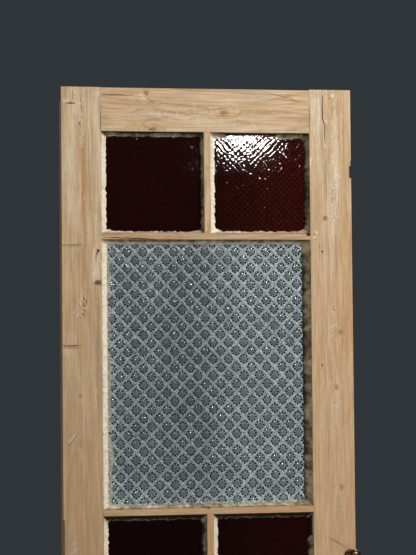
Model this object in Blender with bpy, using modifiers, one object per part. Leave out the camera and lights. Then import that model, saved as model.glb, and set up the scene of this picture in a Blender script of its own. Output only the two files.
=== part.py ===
"""A glazed pantry door of stripped pine: small coloured panes in pairs above and below one
large patterned pane, all puttied into rebates, over a plain wooden panel.

Metres, +Z up. The origin is the middle of the hinge edge. X runs across the leaf to the lock
edge, Y from the puttied front face to the back face, and Z up.
"""

import math
from collections import namedtuple

import bmesh
import bpy
from mathutils import Vector

NAME = "glazed_pantry_door"

# Whole leaf
LEAF_WIDTH = 0.610
LEAF_HEIGHT = 1.981
LEAF_THICKNESS = 0.038

# Widths of the framing on the front face, measured to the rebate's arris
HINGE_STILE_FACE = 0.0820
LOCK_STILE_FACE = 0.0890
TOP_RAIL_FACE = 0.0920
MID_RAIL_FACE = 0.190
BOTTOM_RAIL_FACE = 0.240
BAR_NIB = 0.0132

# Heights of the openings on the front face
UPPER_PANE_HEIGHT = 0.2100
MIDDLE_PANE_HEIGHT = 0.5530
LOWER_PANE_HEIGHT = 0.2100
MUNTIN_OFFSET = 0.0017  # the muntins stand this far from the middle, towards the lock edge

# Rebate, glass and putty
REBATE_WIDTH = 0.0095
REBATE_DEPTH = 0.0185
GLASS_THICKNESS = 0.0040
GLASS_PLAY = 0.0015
PUTTY_WIDTH = 0.0110
PUTTY_FEATHER = 0.0010  # the putty's thickness at its thin edges, on the glass and at the arris

# Chamfer round every opening on the back face
BACK_CHAMFER = 0.0050

# Joints between the pieces
SEAM = 0.0003
TENON_THICKNESS = 0.0127
TENON_INSET = 0.0110  # from a rail's edges to its tenon
TENON_HAUNCH = 0.0250  # from an outer end of the leaf to the nearest tenon
TWIN_TENON_GAP = 0.0400
TENON_SHY = 0.0005  # the through tenons end this far inside the leaf's edges
STUB_LENGTH = 0.0090
STUB_THICKNESS = 0.0080
STUB_WIDTH = 0.0180
STUB_SETBACK = 0.0050  # from the rebate's seat to the stub tenon

# The tops of the members no longer line up
HINGE_STILE_DROP = 0.0010
TOP_RAIL_DROP = 0.0017

# Lower panel
PANEL_THICKNESS = 0.0090
PANEL_GROOVE = 0.0080
PANEL_PLAY = 0.0010

# Traces of old fittings on the edges, measured down from the top of the leaf
HOUSING_TOP = 0.8880
HOUSING_HEIGHT = 0.0760
HOUSING_SINK = 0.0030
HOUSING_REACH = 0.0150
SPLAY_HEIGHT = 0.0310
SPLAY_SINK = 0.0060
NOTCH_TOP = 0.1595
NOTCH_HEIGHT = 0.0260
NOTCH_SINK = 0.0040
NOTCH_REACH = 0.0170
NICK_HEIGHT = 0.0110
NICK_SINK = 0.0012

# Knob
KNOB_FROM_EDGE = 0.0125
KNOB_FROM_TOP = 0.9715
KNOB_RADIUS = 0.0145
KNOB_HALF_DEPTH = 0.0100
KNOB_STAND_OFF = 0.0360  # from the front face to the middle of the head
KNOB_NECK_RADIUS = 0.0055
KNOB_FOOT_RADIUS = 0.0115
KNOB_FOOT_THICKNESS = 0.0025
KNOB_STEPS = 40
KNOB_HEAD_POINTS = 12
KNOB_COVE_POINTS = 6

# How far a cutter runs past what it cuts
OVERRUN = 0.010

FRONT = -LEAF_THICKNESS / 2
BACK = LEAF_THICKNESS / 2
SEAT = FRONT + REBATE_DEPTH
LEAF_TOP = LEAF_HEIGHT / 2
LEAF_BOTTOM = -LEAF_HEIGHT / 2

# Heights of the openings, counted down from the top rail
UPPER_TOP = LEAF_TOP - TOP_RAIL_FACE
UPPER_BOTTOM = UPPER_TOP - UPPER_PANE_HEIGHT
MIDDLE_TOP = UPPER_BOTTOM - BAR_NIB
MIDDLE_BOTTOM = MIDDLE_TOP - MIDDLE_PANE_HEIGHT
LOWER_TOP = MIDDLE_BOTTOM - BAR_NIB
LOWER_BOTTOM = LOWER_TOP - LOWER_PANE_HEIGHT
PANEL_TOP = LOWER_BOTTOM - MID_RAIL_FACE
PANEL_BOTTOM = LEAF_BOTTOM + BOTTOM_RAIL_FACE

# Sides of the openings: the arris on the front face, and the sight line on the back face
ARRIS_LEFT = HINGE_STILE_FACE
ARRIS_RIGHT = LEAF_WIDTH - LOCK_STILE_FACE
SIGHT_LEFT = ARRIS_LEFT + REBATE_WIDTH
SIGHT_RIGHT = ARRIS_RIGHT - REBATE_WIDTH
MUNTIN_X = (ARRIS_LEFT + ARRIS_RIGHT) / 2 + MUNTIN_OFFSET
BAR_HALF = BAR_NIB / 2 + REBATE_WIDTH

PINE = ("pine", (0.50, 0.33, 0.18), 0.62, 0.0)
PUTTY = ("putty", (0.66, 0.54, 0.40), 0.80, 0.0)
RUBY = ("ruby_glass", (0.16, 0.008, 0.004), 0.08, 0.0)
PATTERNED = ("patterned_glass", (0.52, 0.60, 0.62), 0.18, 0.0)
BRASS = ("aged_brass", (0.45, 0.33, 0.17), 0.38, 1.0)

Opening = namedtuple("Opening", "left right bottom top")


def inset(opening, amount):
    """The opening made smaller by the same amount on every side."""
    return Opening(
        opening.left + amount,
        opening.right - amount,
        opening.bottom + amount,
        opening.top - amount,
    )


OPENINGS = {
    "upper_left": Opening(ARRIS_LEFT, MUNTIN_X - BAR_NIB / 2, UPPER_BOTTOM, UPPER_TOP),
    "upper_right": Opening(MUNTIN_X + BAR_NIB / 2, ARRIS_RIGHT, UPPER_BOTTOM, UPPER_TOP),
    "middle": Opening(ARRIS_LEFT, ARRIS_RIGHT, MIDDLE_BOTTOM, MIDDLE_TOP),
    "lower_left": Opening(ARRIS_LEFT, MUNTIN_X - BAR_NIB / 2, LOWER_BOTTOM, LOWER_TOP),
    "lower_right": Opening(MUNTIN_X + BAR_NIB / 2, ARRIS_RIGHT, LOWER_BOTTOM, LOWER_TOP),
}
PANEL_OPENING = Opening(SIGHT_LEFT, SIGHT_RIGHT, PANEL_BOTTOM, PANEL_TOP)

# Stretches where putty has fallen out: opening, side, and how far along it, as lengths
# from the opening's left or top
LOST_PUTTY = (
    ("upper_right", "top", 0.0290, 0.1440),
    ("lower_right", "right", 0.0020, 0.0470),
)


def clear_scene():
    for obj in list(bpy.data.objects):
        bpy.data.objects.remove(obj, do_unlink=True)


def new_collection(name):
    collection = bpy.data.collections.new(name)
    bpy.context.scene.collection.children.link(collection)
    return collection


def make_material(name, colour, roughness, metallic):
    material = bpy.data.materials.get(name) or bpy.data.materials.new(name)
    material.use_nodes = True
    shader = material.node_tree.nodes["Principled BSDF"]
    shader.inputs["Base Color"].default_value = (*colour, 1.0)
    shader.inputs["Roughness"].default_value = roughness
    shader.inputs["Metallic"].default_value = metallic
    material.diffuse_color = (*colour, 1.0)
    return material


def cube_mesh(name, low, high):
    """A box between two corners, about its own middle."""
    size = Vector(high) - Vector(low)
    form = bmesh.new()
    bmesh.ops.create_cube(form, size=1.0)
    bmesh.ops.scale(form, vec=size, verts=form.verts)
    mesh = bpy.data.meshes.new(name)
    form.to_mesh(mesh)
    form.free()
    return mesh


def place(name, mesh, location, collection):
    obj = bpy.data.objects.new(name, mesh)
    obj.location = location
    collection.objects.link(obj)
    return obj


class Leaf:
    """The door's two collections and its parent empty, with the ways its pieces are made."""

    def __init__(self):
        self.parts = new_collection(NAME)
        self.cutters = new_collection(NAME + "_cutters")
        self.origin = bpy.data.objects.new("hinge_edge_origin", None)
        self.origin.empty_display_size = 0.05
        self.parts.objects.link(self.origin)

    def adopt(self, obj, finish):
        """Gives the piece its material and hangs it from the leaf's origin."""
        obj.data.materials.append(make_material(*finish))
        obj.parent = self.origin
        return obj

    def box(self, name, low, high, finish):
        middle = (Vector(low) + Vector(high)) / 2
        obj = place(name, cube_mesh(name, low, high), middle, self.parts)
        return self.adopt(obj, finish)

    def hide(self, helper):
        helper.hide_render = True
        helper.display_type = "WIRE"
        helper.parent = self.origin
        return helper

    def combine(self, piece, helper, operation):
        modifier = piece.modifiers.new(helper.name, "BOOLEAN")
        modifier.operation = operation
        modifier.solver = "EXACT"
        modifier.object = helper

    def helper_box(self, piece, label, low, high):
        name = f"{piece.name}_{label}"
        middle = (Vector(low) + Vector(high)) / 2
        return self.hide(place(name, cube_mesh(name, low, high), middle, self.cutters))

    def cut_box(self, piece, label, low, high):
        self.combine(piece, self.helper_box(piece, label, low, high), "DIFFERENCE")

    def join_box(self, piece, label, low, high):
        self.combine(piece, self.helper_box(piece, label, low, high), "UNION")

    def cut_funnel(self, piece, label, narrow, wide, y_narrow, y_wide):
        """Cuts a straight-sided funnel that opens from one rectangle to another along Y."""
        low = (wide.left, min(y_narrow, y_wide), wide.bottom)
        high = (wide.right, max(y_narrow, y_wide), wide.top)
        funnel = self.helper_box(piece, label, low, high)
        side = math.copysign(1.0, y_narrow - y_wide)
        for vertex in funnel.data.vertices:
            if vertex.co.y * side > 0:
                at = vertex.co + funnel.location
                at.x = narrow.right if at.x > funnel.location.x else narrow.left
                at.z = narrow.top if at.z > funnel.location.z else narrow.bottom
                vertex.co = at - funnel.location
        self.combine(piece, funnel, "DIFFERENCE")

    def extruded(self, name, outline, height, location):
        """A flat outline in X and Y, as a filled curve extruded about its middle, made a mesh."""
        curve = bpy.data.curves.new(name, "CURVE")
        curve.dimensions = "2D"
        curve.fill_mode = "BOTH"
        curve.extrude = height / 2
        spline = curve.splines.new("POLY")
        spline.points.add(len(outline) - 1)
        for point, (x, y) in zip(spline.points, outline):
            point.co = (x, y, 0.0, 1.0)
        spline.use_cyclic_u = True
        drawn = place(name, curve, location, self.cutters)
        bpy.context.view_layer.update()
        graph = bpy.context.evaluated_depsgraph_get()
        mesh = bpy.data.meshes.new_from_object(drawn.evaluated_get(graph))
        form = bmesh.new()
        form.from_mesh(mesh)
        bmesh.ops.remove_doubles(form, verts=form.verts, dist=0.00001)
        bmesh.ops.recalc_face_normals(form, faces=form.faces)
        form.to_mesh(mesh)
        form.free()
        solid = bpy.data.objects.new(name, mesh)
        solid.matrix_world = drawn.matrix_world
        bpy.data.objects.remove(drawn)
        self.cutters.objects.link(solid)
        return self.hide(solid)

    def turned(self, name, profile, location, finish):
        """A solid turned about its own Z from (radius, height) points, laid to point at -Y."""
        mesh = bpy.data.meshes.new(name)
        form = bmesh.new()
        line = [form.verts.new((radius, 0.0, height)) for radius, height in profile]
        for start, end in zip(line, line[1:]):
            form.edges.new((start, end))
        form.to_mesh(mesh)
        form.free()
        obj = place(name, mesh, location, self.parts)
        obj.rotation_euler = (math.radians(90), 0.0, 0.0)
        screw = obj.modifiers.new("turn", "SCREW")
        screw.axis = "Z"
        screw.steps = KNOB_STEPS
        screw.render_steps = KNOB_STEPS
        screw.use_merge_vertices = True
        screw.merge_threshold = 0.00001
        screw.use_smooth_shade = True
        return self.adopt(obj, finish)


def chamfer_back(leaf, piece, openings):
    """Chamfers the piece's back arrises round each sight opening."""
    for label, sight in openings.items():
        wide = inset(sight, -BACK_CHAMFER - OVERRUN)
        leaf.cut_funnel(
            piece, f"back_{label}", sight, wide, BACK - BACK_CHAMFER, BACK + OVERRUN
        )


def sights(*labels):
    """The sight openings of these panes, as seen from the back."""
    found = {label: inset(OPENINGS[label], REBATE_WIDTH) for label in labels}
    return found


def rail_tenons():
    """Each rail's through tenons, as (rail, number, bottom, top)."""
    top_rail_top = LEAF_TOP - TOP_RAIL_DROP
    mid_low = PANEL_TOP + PANEL_GROOVE + TENON_INSET
    mid_high = LOWER_BOTTOM - TENON_INSET
    low_low = LEAF_BOTTOM + TENON_HAUNCH
    low_high = PANEL_BOTTOM - PANEL_GROOVE - TENON_INSET
    found = [("top_rail", 1, UPPER_TOP + TENON_INSET, top_rail_top - TENON_HAUNCH)]
    for rail, low, high in (("mid_rail", mid_low, mid_high), ("bottom_rail", low_low, low_high)):
        middle = (low + high) / 2
        found.append((rail, 1, low, middle - TWIN_TENON_GAP / 2))
        found.append((rail, 2, middle + TWIN_TENON_GAP / 2, high))
    return found


def bar_stubs(centre_z):
    """Low and high corner of a horizontal bar's stub tenons, in Y and Z."""
    y_low = SEAT + STUB_SETBACK
    return (y_low, centre_z - STUB_WIDTH / 2), (y_low + STUB_THICKNESS, centre_z + STUB_WIDTH / 2)


UPPER_BAR_Z = (UPPER_BOTTOM + MIDDLE_TOP) / 2
LOWER_BAR_Z = (MIDDLE_BOTTOM + LOWER_TOP) / 2


def make_stile(leaf, name, outer, arris, sight, top):
    """A stile between the leaf's edge and its sight line. inward is +1 from the hinge edge."""
    inward = math.copysign(1.0, sight - outer)
    left, right = sorted((outer, sight))
    stile = leaf.box(name, (left, FRONT, LEAF_BOTTOM), (right, BACK, top), PINE)

    def across(label, x_from, x_to, y_low, y_high, z_low, z_high):
        x_low, x_high = sorted((x_from, x_to))
        leaf.cut_box(stile, label, (x_low, y_low, z_low), (x_high, y_high, z_high))

    past = sight + inward * OVERRUN
    across("rebate", arris, past, FRONT - OVERRUN, SEAT, PANEL_TOP, LEAF_TOP + OVERRUN)
    chamfers = sights(*OPENINGS)
    chamfers["panel"] = PANEL_OPENING
    chamfer_back(leaf, stile, chamfers)

    half_tenon = TENON_THICKNESS / 2 + SEAM
    outside = outer - inward * OVERRUN
    for rail, number, low, high in rail_tenons():
        label = f"mortice_{rail}_{number}"
        across(label, outside, past, -half_tenon, half_tenon, low - SEAM, high + SEAM)
    socket = sight - inward * (STUB_LENGTH + SEAM)
    for label, centre in (("upper", UPPER_BAR_Z), ("lower", LOWER_BAR_Z)):
        (y_low, z_low), (y_high, z_high) = bar_stubs(centre)
        across(
            f"socket_{label}", socket, past, y_low - SEAM, y_high + SEAM, z_low - SEAM, z_high + SEAM
        )
    groove = sight - inward * PANEL_GROOVE
    half_groove = PANEL_THICKNESS / 2 + SEAM
    across(
        "groove", groove, past, -half_groove, half_groove,
        PANEL_BOTTOM - PANEL_GROOVE, PANEL_TOP + PANEL_GROOVE,
    )
    return stile


def make_hinge_stile(leaf):
    top = LEAF_TOP - HINGE_STILE_DROP
    stile = make_stile(leaf, "hinge_stile", 0.0, ARRIS_LEFT, SIGHT_LEFT, top)
    housing_top = LEAF_TOP - HOUSING_TOP
    leaf.cut_box(
        stile,
        "housing",
        (-OVERRUN, FRONT - OVERRUN, housing_top - HOUSING_HEIGHT),
        (HOUSING_SINK, FRONT + HOUSING_REACH, housing_top),
    )
    slope = SPLAY_SINK / LEAF_THICKNESS
    outline = (
        (-slope * OVERRUN, FRONT - OVERRUN),
        (SPLAY_SINK + slope * OVERRUN, BACK + OVERRUN),
        (-OVERRUN, BACK + OVERRUN),
        (-OVERRUN, FRONT - OVERRUN),
    )
    height = SPLAY_HEIGHT + OVERRUN
    middle = (0.0, 0.0, LEAF_TOP - SPLAY_HEIGHT + height / 2)
    splay = leaf.extruded("hinge_stile_splay", outline, height, middle)
    leaf.combine(stile, splay, "DIFFERENCE")


def make_lock_stile(leaf):
    stile = make_stile(leaf, "lock_stile", LEAF_WIDTH, ARRIS_RIGHT, SIGHT_RIGHT, LEAF_TOP)
    notch_top = LEAF_TOP - NOTCH_TOP
    leaf.cut_box(
        stile,
        "notch",
        (LEAF_WIDTH - NOTCH_SINK, FRONT - OVERRUN, notch_top - NOTCH_HEIGHT),
        (LEAF_WIDTH + OVERRUN, FRONT + NOTCH_REACH, notch_top),
    )
    leaf.cut_box(
        stile,
        "nick",
        (LEAF_WIDTH - NICK_SINK, FRONT - OVERRUN, notch_top - OVERRUN),
        (LEAF_WIDTH + OVERRUN, FRONT + NOTCH_REACH, notch_top + NICK_HEIGHT),
    )


def add_rail_tenons(leaf, rail):
    for name, number, low, high in rail_tenons():
        if name == rail.name:
            leaf.join_box(
                rail,
                f"tenon_{number}",
                (TENON_SHY, -TENON_THICKNESS / 2, low),
                (LEAF_WIDTH - TENON_SHY, TENON_THICKNESS / 2, high),
            )


def lapped_rail(leaf, name, low_z, high_z):
    """A rail or bar whose front laps the stiles' rebates, with its back cut short between them."""
    rail = leaf.box(
        name, (ARRIS_LEFT + SEAM, FRONT, low_z), (ARRIS_RIGHT - SEAM, BACK, high_z), PINE
    )
    for label, x_low, x_high in (
        ("hinge_shoulder", ARRIS_LEFT - OVERRUN, SIGHT_LEFT + SEAM),
        ("lock_shoulder", SIGHT_RIGHT - SEAM, ARRIS_RIGHT + OVERRUN),
    ):
        leaf.cut_box(
            rail,
            label,
            (x_low, SEAT - SEAM, low_z - OVERRUN),
            (x_high, BACK + OVERRUN, high_z + OVERRUN),
        )
    return rail


def cut_rebate(leaf, rail, label, low_z, high_z):
    """Runs a rebate along the rail between two heights."""
    leaf.cut_box(
        rail,
        label,
        (ARRIS_LEFT - OVERRUN, FRONT - OVERRUN, low_z),
        (ARRIS_RIGHT + OVERRUN, SEAT, high_z),
    )


def muntin_stub(end_z, way):
    """Low and high corner of a muntin's stub tenon, from its tongue's end towards way."""
    reach = sorted((end_z - way * OVERRUN, end_z + way * STUB_LENGTH))
    y_low = SEAT + STUB_SETBACK
    low = (MUNTIN_X - STUB_WIDTH / 2, y_low, reach[0])
    high = (MUNTIN_X + STUB_WIDTH / 2, y_low + STUB_THICKNESS, reach[1])
    return low, high


def cut_stub_socket(leaf, piece, label, end_z, way):
    low, high = muntin_stub(end_z, way)
    room = Vector((SEAM, SEAM, SEAM))
    leaf.cut_box(piece, label, Vector(low) - room, Vector(high) + room)


def make_top_rail(leaf):
    rail = lapped_rail(leaf, "top_rail", UPPER_TOP - REBATE_WIDTH, LEAF_TOP - TOP_RAIL_DROP)
    cut_rebate(leaf, rail, "rebate", UPPER_TOP - REBATE_WIDTH - OVERRUN, UPPER_TOP)
    add_rail_tenons(leaf, rail)
    cut_stub_socket(leaf, rail, "muntin_socket", UPPER_TOP - REBATE_WIDTH, 1)
    chamfer_back(leaf, rail, sights("upper_left", "upper_right"))


def make_mid_rail(leaf):
    rail = lapped_rail(leaf, "mid_rail", PANEL_TOP, LOWER_BOTTOM + REBATE_WIDTH)
    cut_rebate(leaf, rail, "rebate", LOWER_BOTTOM, LOWER_BOTTOM + REBATE_WIDTH + OVERRUN)
    add_rail_tenons(leaf, rail)
    cut_stub_socket(leaf, rail, "muntin_socket", LOWER_BOTTOM + REBATE_WIDTH, -1)
    half_groove = PANEL_THICKNESS / 2 + SEAM
    leaf.cut_box(
        rail,
        "groove",
        (ARRIS_LEFT - OVERRUN, -half_groove, PANEL_TOP - OVERRUN),
        (ARRIS_RIGHT + OVERRUN, half_groove, PANEL_TOP + PANEL_GROOVE),
    )
    chamfers = sights("lower_left", "lower_right")
    chamfers["panel"] = PANEL_OPENING
    chamfer_back(leaf, rail, chamfers)


def make_bottom_rail(leaf):
    rail = leaf.box(
        "bottom_rail",
        (SIGHT_LEFT + SEAM, FRONT, LEAF_BOTTOM),
        (SIGHT_RIGHT - SEAM, BACK, PANEL_BOTTOM),
        PINE,
    )
    add_rail_tenons(leaf, rail)
    half_groove = PANEL_THICKNESS / 2 + SEAM
    leaf.cut_box(
        rail,
        "groove",
        (SIGHT_LEFT - OVERRUN, -half_groove, PANEL_BOTTOM - PANEL_GROOVE),
        (SIGHT_RIGHT + OVERRUN, half_groove, PANEL_BOTTOM + OVERRUN),
    )
    chamfer_back(leaf, rail, {"panel": PANEL_OPENING})


def make_glazing_bar(leaf, name, centre, above, below, muntin_way):
    """A horizontal bar: a narrow nib in front, and a wide tongue behind it that the panes lie on."""
    bar = lapped_rail(leaf, name, centre - BAR_HALF, centre + BAR_HALF)
    nib_low = centre - BAR_NIB / 2
    nib_high = centre + BAR_NIB / 2
    cut_rebate(leaf, bar, "rebate_above", nib_high, centre + BAR_HALF + OVERRUN)
    cut_rebate(leaf, bar, "rebate_below", centre - BAR_HALF - OVERRUN, nib_low)
    (y_low, z_low), (y_high, z_high) = bar_stubs(centre)
    leaf.join_box(
        bar,
        "stubs",
        (SIGHT_LEFT - STUB_LENGTH, y_low, z_low),
        (SIGHT_RIGHT + STUB_LENGTH, y_high, z_high),
    )
    cut_stub_socket(leaf, bar, "muntin_socket", centre + muntin_way * BAR_HALF, -muntin_way)
    chamfer_back(leaf, bar, sights(*above, *below))


def make_muntin(leaf, name, low_z, high_z, panes):
    """An upright bar between two arrises, housed at both ends in what it meets."""
    muntin = leaf.box(
        name,
        (MUNTIN_X - BAR_HALF, FRONT, low_z + SEAM),
        (MUNTIN_X + BAR_HALF, BACK, high_z - SEAM),
        PINE,
    )
    for label, x_low, x_high in (
        ("rebate_left", MUNTIN_X - BAR_HALF - OVERRUN, MUNTIN_X - BAR_NIB / 2),
        ("rebate_right", MUNTIN_X + BAR_NIB / 2, MUNTIN_X + BAR_HALF + OVERRUN),
    ):
        leaf.cut_box(
            muntin,
            label,
            (x_low, FRONT - OVERRUN, low_z - OVERRUN),
            (x_high, SEAT, high_z + OVERRUN),
        )
    tongue_low = low_z + REBATE_WIDTH
    tongue_high = high_z - REBATE_WIDTH
    for label, z_low, z_high in (
        ("foot_shoulder", low_z - OVERRUN, tongue_low + SEAM),
        ("head_shoulder", tongue_high - SEAM, high_z + OVERRUN),
    ):
        leaf.cut_box(
            muntin,
            label,
            (MUNTIN_X - BAR_HALF - OVERRUN, SEAT - SEAM, z_low),
            (MUNTIN_X + BAR_HALF + OVERRUN, BACK + OVERRUN, z_high),
        )
    leaf.join_box(muntin, "head_stub", *muntin_stub(tongue_high, 1))
    leaf.join_box(muntin, "foot_stub", *muntin_stub(tongue_low, -1))
    chamfer_back(leaf, muntin, sights(*panes))


def glass_faces():
    """The front and back of every pane, in Y."""
    back = SEAT - SEAM
    return back - GLASS_THICKNESS, back


def make_pane(leaf, label, finish):
    front, back = glass_faces()
    cut = inset(OPENINGS[label], GLASS_PLAY)
    leaf.box(f"pane_{label}", (cut.left, front, cut.bottom), (cut.right, back, cut.top), finish)


def lost_stretch(opening, side, start, end):
    """Low and high corner of a box that takes the putty out along one side of the opening."""
    reach = PUTTY_WIDTH + OVERRUN
    if side == "top":
        low = (opening.left + start, opening.top - reach)
        high = (opening.left + end, opening.top + OVERRUN)
    else:
        low = (opening.right - reach, opening.top - end)
        high = (opening.right + OVERRUN, opening.top - start)
    return (low[0], FRONT - OVERRUN, low[1]), (high[0], SEAT, high[1])


def make_putty(leaf, label):
    """A ring of putty, sloping from the rebate's arris down onto the glass."""
    opening = OPENINGS[label]
    glass_front, _ = glass_faces()
    outer = inset(opening, SEAM)
    front = FRONT + SEAM
    back = glass_front - SEAM
    name = f"putty_{label}"
    ring = leaf.box(
        name, (outer.left, front, outer.bottom), (outer.right, back, outer.top), PUTTY
    )
    narrow = inset(opening, PUTTY_WIDTH)
    wide = inset(opening, SEAM + PUTTY_FEATHER)
    leaf.cut_box(
        ring,
        "sight",
        (narrow.left, front - OVERRUN, narrow.bottom),
        (narrow.right, back + OVERRUN, narrow.top),
    )
    y_narrow = back - PUTTY_FEATHER
    y_wide = front - PUTTY_FEATHER
    leaf.cut_funnel(ring, "slope", inset(narrow, -PUTTY_FEATHER / 2), wide, y_narrow, y_wide)
    for number, (place_label, side, start, end) in enumerate(LOST_PUTTY):
        if place_label == label:
            low, high = lost_stretch(opening, side, start, end)
            leaf.cut_box(ring, f"lost_{number}", low, high)


def make_lower_panel(leaf):
    edge = inset(PANEL_OPENING, PANEL_PLAY - PANEL_GROOVE)
    half = PANEL_THICKNESS / 2
    leaf.box("lower_panel", (edge.left, -half, edge.bottom), (edge.right, half, edge.top), PINE)


def knob_profile():
    """Radius and height of the knob from the tip of its head down to its foot."""
    neck_meets = math.asin(KNOB_NECK_RADIUS / KNOB_RADIUS)
    points = []
    for step in range(KNOB_HEAD_POINTS + 1):
        angle = (math.pi - neck_meets) * step / KNOB_HEAD_POINTS
        radius = KNOB_RADIUS * math.sin(angle)
        points.append((radius, KNOB_STAND_OFF + KNOB_HALF_DEPTH * math.cos(angle)))
    cove = KNOB_FOOT_RADIUS - KNOB_NECK_RADIUS
    for step in range(KNOB_COVE_POINTS + 1):
        angle = math.pi / 2 * step / KNOB_COVE_POINTS
        radius = KNOB_FOOT_RADIUS - cove * math.cos(angle)
        points.append((radius, KNOB_FOOT_THICKNESS + cove * (1 - math.sin(angle))))
    points.append((KNOB_FOOT_RADIUS, SEAM))
    points.append((0.0, SEAM))
    return points


def make_knob(leaf):
    at = (LEAF_WIDTH - KNOB_FROM_EDGE, FRONT, LEAF_TOP - KNOB_FROM_TOP)
    leaf.turned("knob", knob_profile(), at, BRASS)


def main():
    clear_scene()
    leaf = Leaf()
    make_hinge_stile(leaf)
    make_lock_stile(leaf)
    make_top_rail(leaf)
    make_mid_rail(leaf)
    make_bottom_rail(leaf)
    upper = ("upper_left", "upper_right")
    lower = ("lower_left", "lower_right")
    make_glazing_bar(leaf, "upper_glazing_bar", UPPER_BAR_Z, upper, ("middle",), 1)
    make_glazing_bar(leaf, "lower_glazing_bar", LOWER_BAR_Z, ("middle",), lower, -1)
    make_muntin(leaf, "upper_muntin", UPPER_BOTTOM, UPPER_TOP, upper)
    make_muntin(leaf, "lower_muntin", LOWER_BOTTOM, LOWER_TOP, lower)
    for label in OPENINGS:
        make_pane(leaf, label, PATTERNED if label == "middle" else RUBY)
        make_putty(leaf, label)
    make_lower_panel(leaf)
    make_knob(leaf)


main()
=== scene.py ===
"""Looks of the glazed pantry door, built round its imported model: stripped pine framing, dimpled
ruby panes, a pane patterned with daisies, hard old putty and a small knob of aged brass.

Metres, +Z up. X runs across the leaf from the hinge edge, Y from the front face to the back.
"""

import math
from collections import namedtuple
from random import Random

import bmesh
import bpy
from mathutils import Matrix, Vector, noise


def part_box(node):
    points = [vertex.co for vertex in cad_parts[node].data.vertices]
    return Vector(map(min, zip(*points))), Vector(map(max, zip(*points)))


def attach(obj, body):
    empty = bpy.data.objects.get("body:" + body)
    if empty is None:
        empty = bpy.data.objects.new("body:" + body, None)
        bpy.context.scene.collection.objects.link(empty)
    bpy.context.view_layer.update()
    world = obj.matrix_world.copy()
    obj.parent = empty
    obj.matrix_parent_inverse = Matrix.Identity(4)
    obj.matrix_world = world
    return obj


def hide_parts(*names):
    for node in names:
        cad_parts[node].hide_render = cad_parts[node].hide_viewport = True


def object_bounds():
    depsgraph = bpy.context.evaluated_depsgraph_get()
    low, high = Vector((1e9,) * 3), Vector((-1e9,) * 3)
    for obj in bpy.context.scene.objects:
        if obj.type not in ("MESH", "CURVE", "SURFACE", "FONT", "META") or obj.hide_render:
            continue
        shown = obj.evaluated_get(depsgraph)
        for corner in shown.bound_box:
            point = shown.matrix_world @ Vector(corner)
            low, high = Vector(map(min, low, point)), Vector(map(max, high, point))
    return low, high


bl_info = {
    "name": "Glazed pantry door",
    "version": (1, 0, 0),
    "blender": (4, 5, 0),
    "location": "3D View > Sidebar > Pantry Door",
    "description": "Builds the looks of a glazed pantry door piece by piece",
    "category": "Object",
}

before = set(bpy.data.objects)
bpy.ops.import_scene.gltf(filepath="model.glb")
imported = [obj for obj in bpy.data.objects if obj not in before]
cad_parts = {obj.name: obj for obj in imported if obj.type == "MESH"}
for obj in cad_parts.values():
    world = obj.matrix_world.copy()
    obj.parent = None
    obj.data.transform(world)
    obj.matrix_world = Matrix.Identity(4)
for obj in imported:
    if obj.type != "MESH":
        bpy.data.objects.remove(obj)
cad_low, cad_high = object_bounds()

MM = 0.001
PANES = ("upper_left", "upper_right", "middle", "lower_left", "lower_right")
RUBY_PANES = tuple(label for label in PANES if label != "middle")
OPENINGS = {label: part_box("putty_" + label) for label in PANES}
BACK = cad_high.y
FRONT = -BACK  # the leaf is centred on Y, and only the knob stands further forward
LEAF_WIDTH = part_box("lock_stile")[1].x
LEAF_TOP = cad_high.z
LEAF_BOTTOM = cad_low.z
ARRIS_GAP = 0.0003  # the putty starts this far inside the arris it is pressed against

Side = namedtuple("Side", "start end inward width")
# Knots and marks are placed and sized in millimetres, from the hinge edge and the leaf's top. A
# knot bends the grain out to its reach, in its own half sizes. A mark leans clockwise, in degrees.
Knot = namedtuple("Knot", "across down half_width half_length reach", defaults=(3.6,))
Mark = namedtuple("Mark", "kind across down half_width half_length lean strength")


def on_face(across, down):
    """X and Z of a point given in millimetres from the hinge edge and from the leaf's top."""
    return across * MM, LEAF_TOP - down * MM


# ---- Settings a user would change


def colour_setting(name, description, default):
    return bpy.props.FloatVectorProperty(
        name=name, description=description, default=default,
        subtype="COLOR", size=3, min=0.0, max=1.0,
    )


def length_setting(name, description, low, high, default):
    return bpy.props.FloatProperty(
        name=name, description=description, default=default,
        subtype="DISTANCE", unit="LENGTH", min=low, max=high,
    )


class PineSettings(bpy.types.PropertyGroup):
    early_wood: colour_setting(
        "Early wood", "Colour of the soft, pale part of each year's growth", (0.66, 0.462, 0.268),
    )
    late_wood: colour_setting(
        "Late wood", "Colour of the hard, dark part of each year's growth", (0.42, 0.235, 0.108),
    )
    arris_wear: length_setting(
        "Arris wear", "How far the arrises are worn back", 0.0, 0.003, 0.0009,
    )
    arris_round: length_setting(
        "Arris rounding", "Width of the small rounding on every open arris", 0.0002, 0.003, 0.0007,
    )


class RubySettings(bpy.types.PropertyGroup):
    colour: colour_setting(
        "Ruby", "Colour of the small panes", (0.30, 0.022, 0.008),
    )
    dimple_pitch: length_setting(
        "Dimple pitch", "Distance between dimples along their diagonal rows", 0.003, 0.03, 0.0085,
    )
    dimple_depth: length_setting(
        "Dimple depth", "Depth of the dimples", 0.0, 0.001, 0.00003,
    )


class DaisySettings(bpy.types.PropertyGroup):
    pitch: length_setting(
        "Pattern pitch", "Distance between daisies along a row", 0.02, 0.08, 0.03244,
    )
    radius: length_setting(
        "Daisy radius", "From the middle of a daisy to the tips of its petals", 0.004, 0.02, 0.0101,
    )
    relief: length_setting(
        "Relief", "Height of the petals over the stippled ground", 0.0, 0.0015, 0.0011,
    )
    ground: colour_setting(
        "Stippled ground", "Colour of the frosted ground between the daisies", (0.55, 0.655, 0.68),
    )


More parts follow.
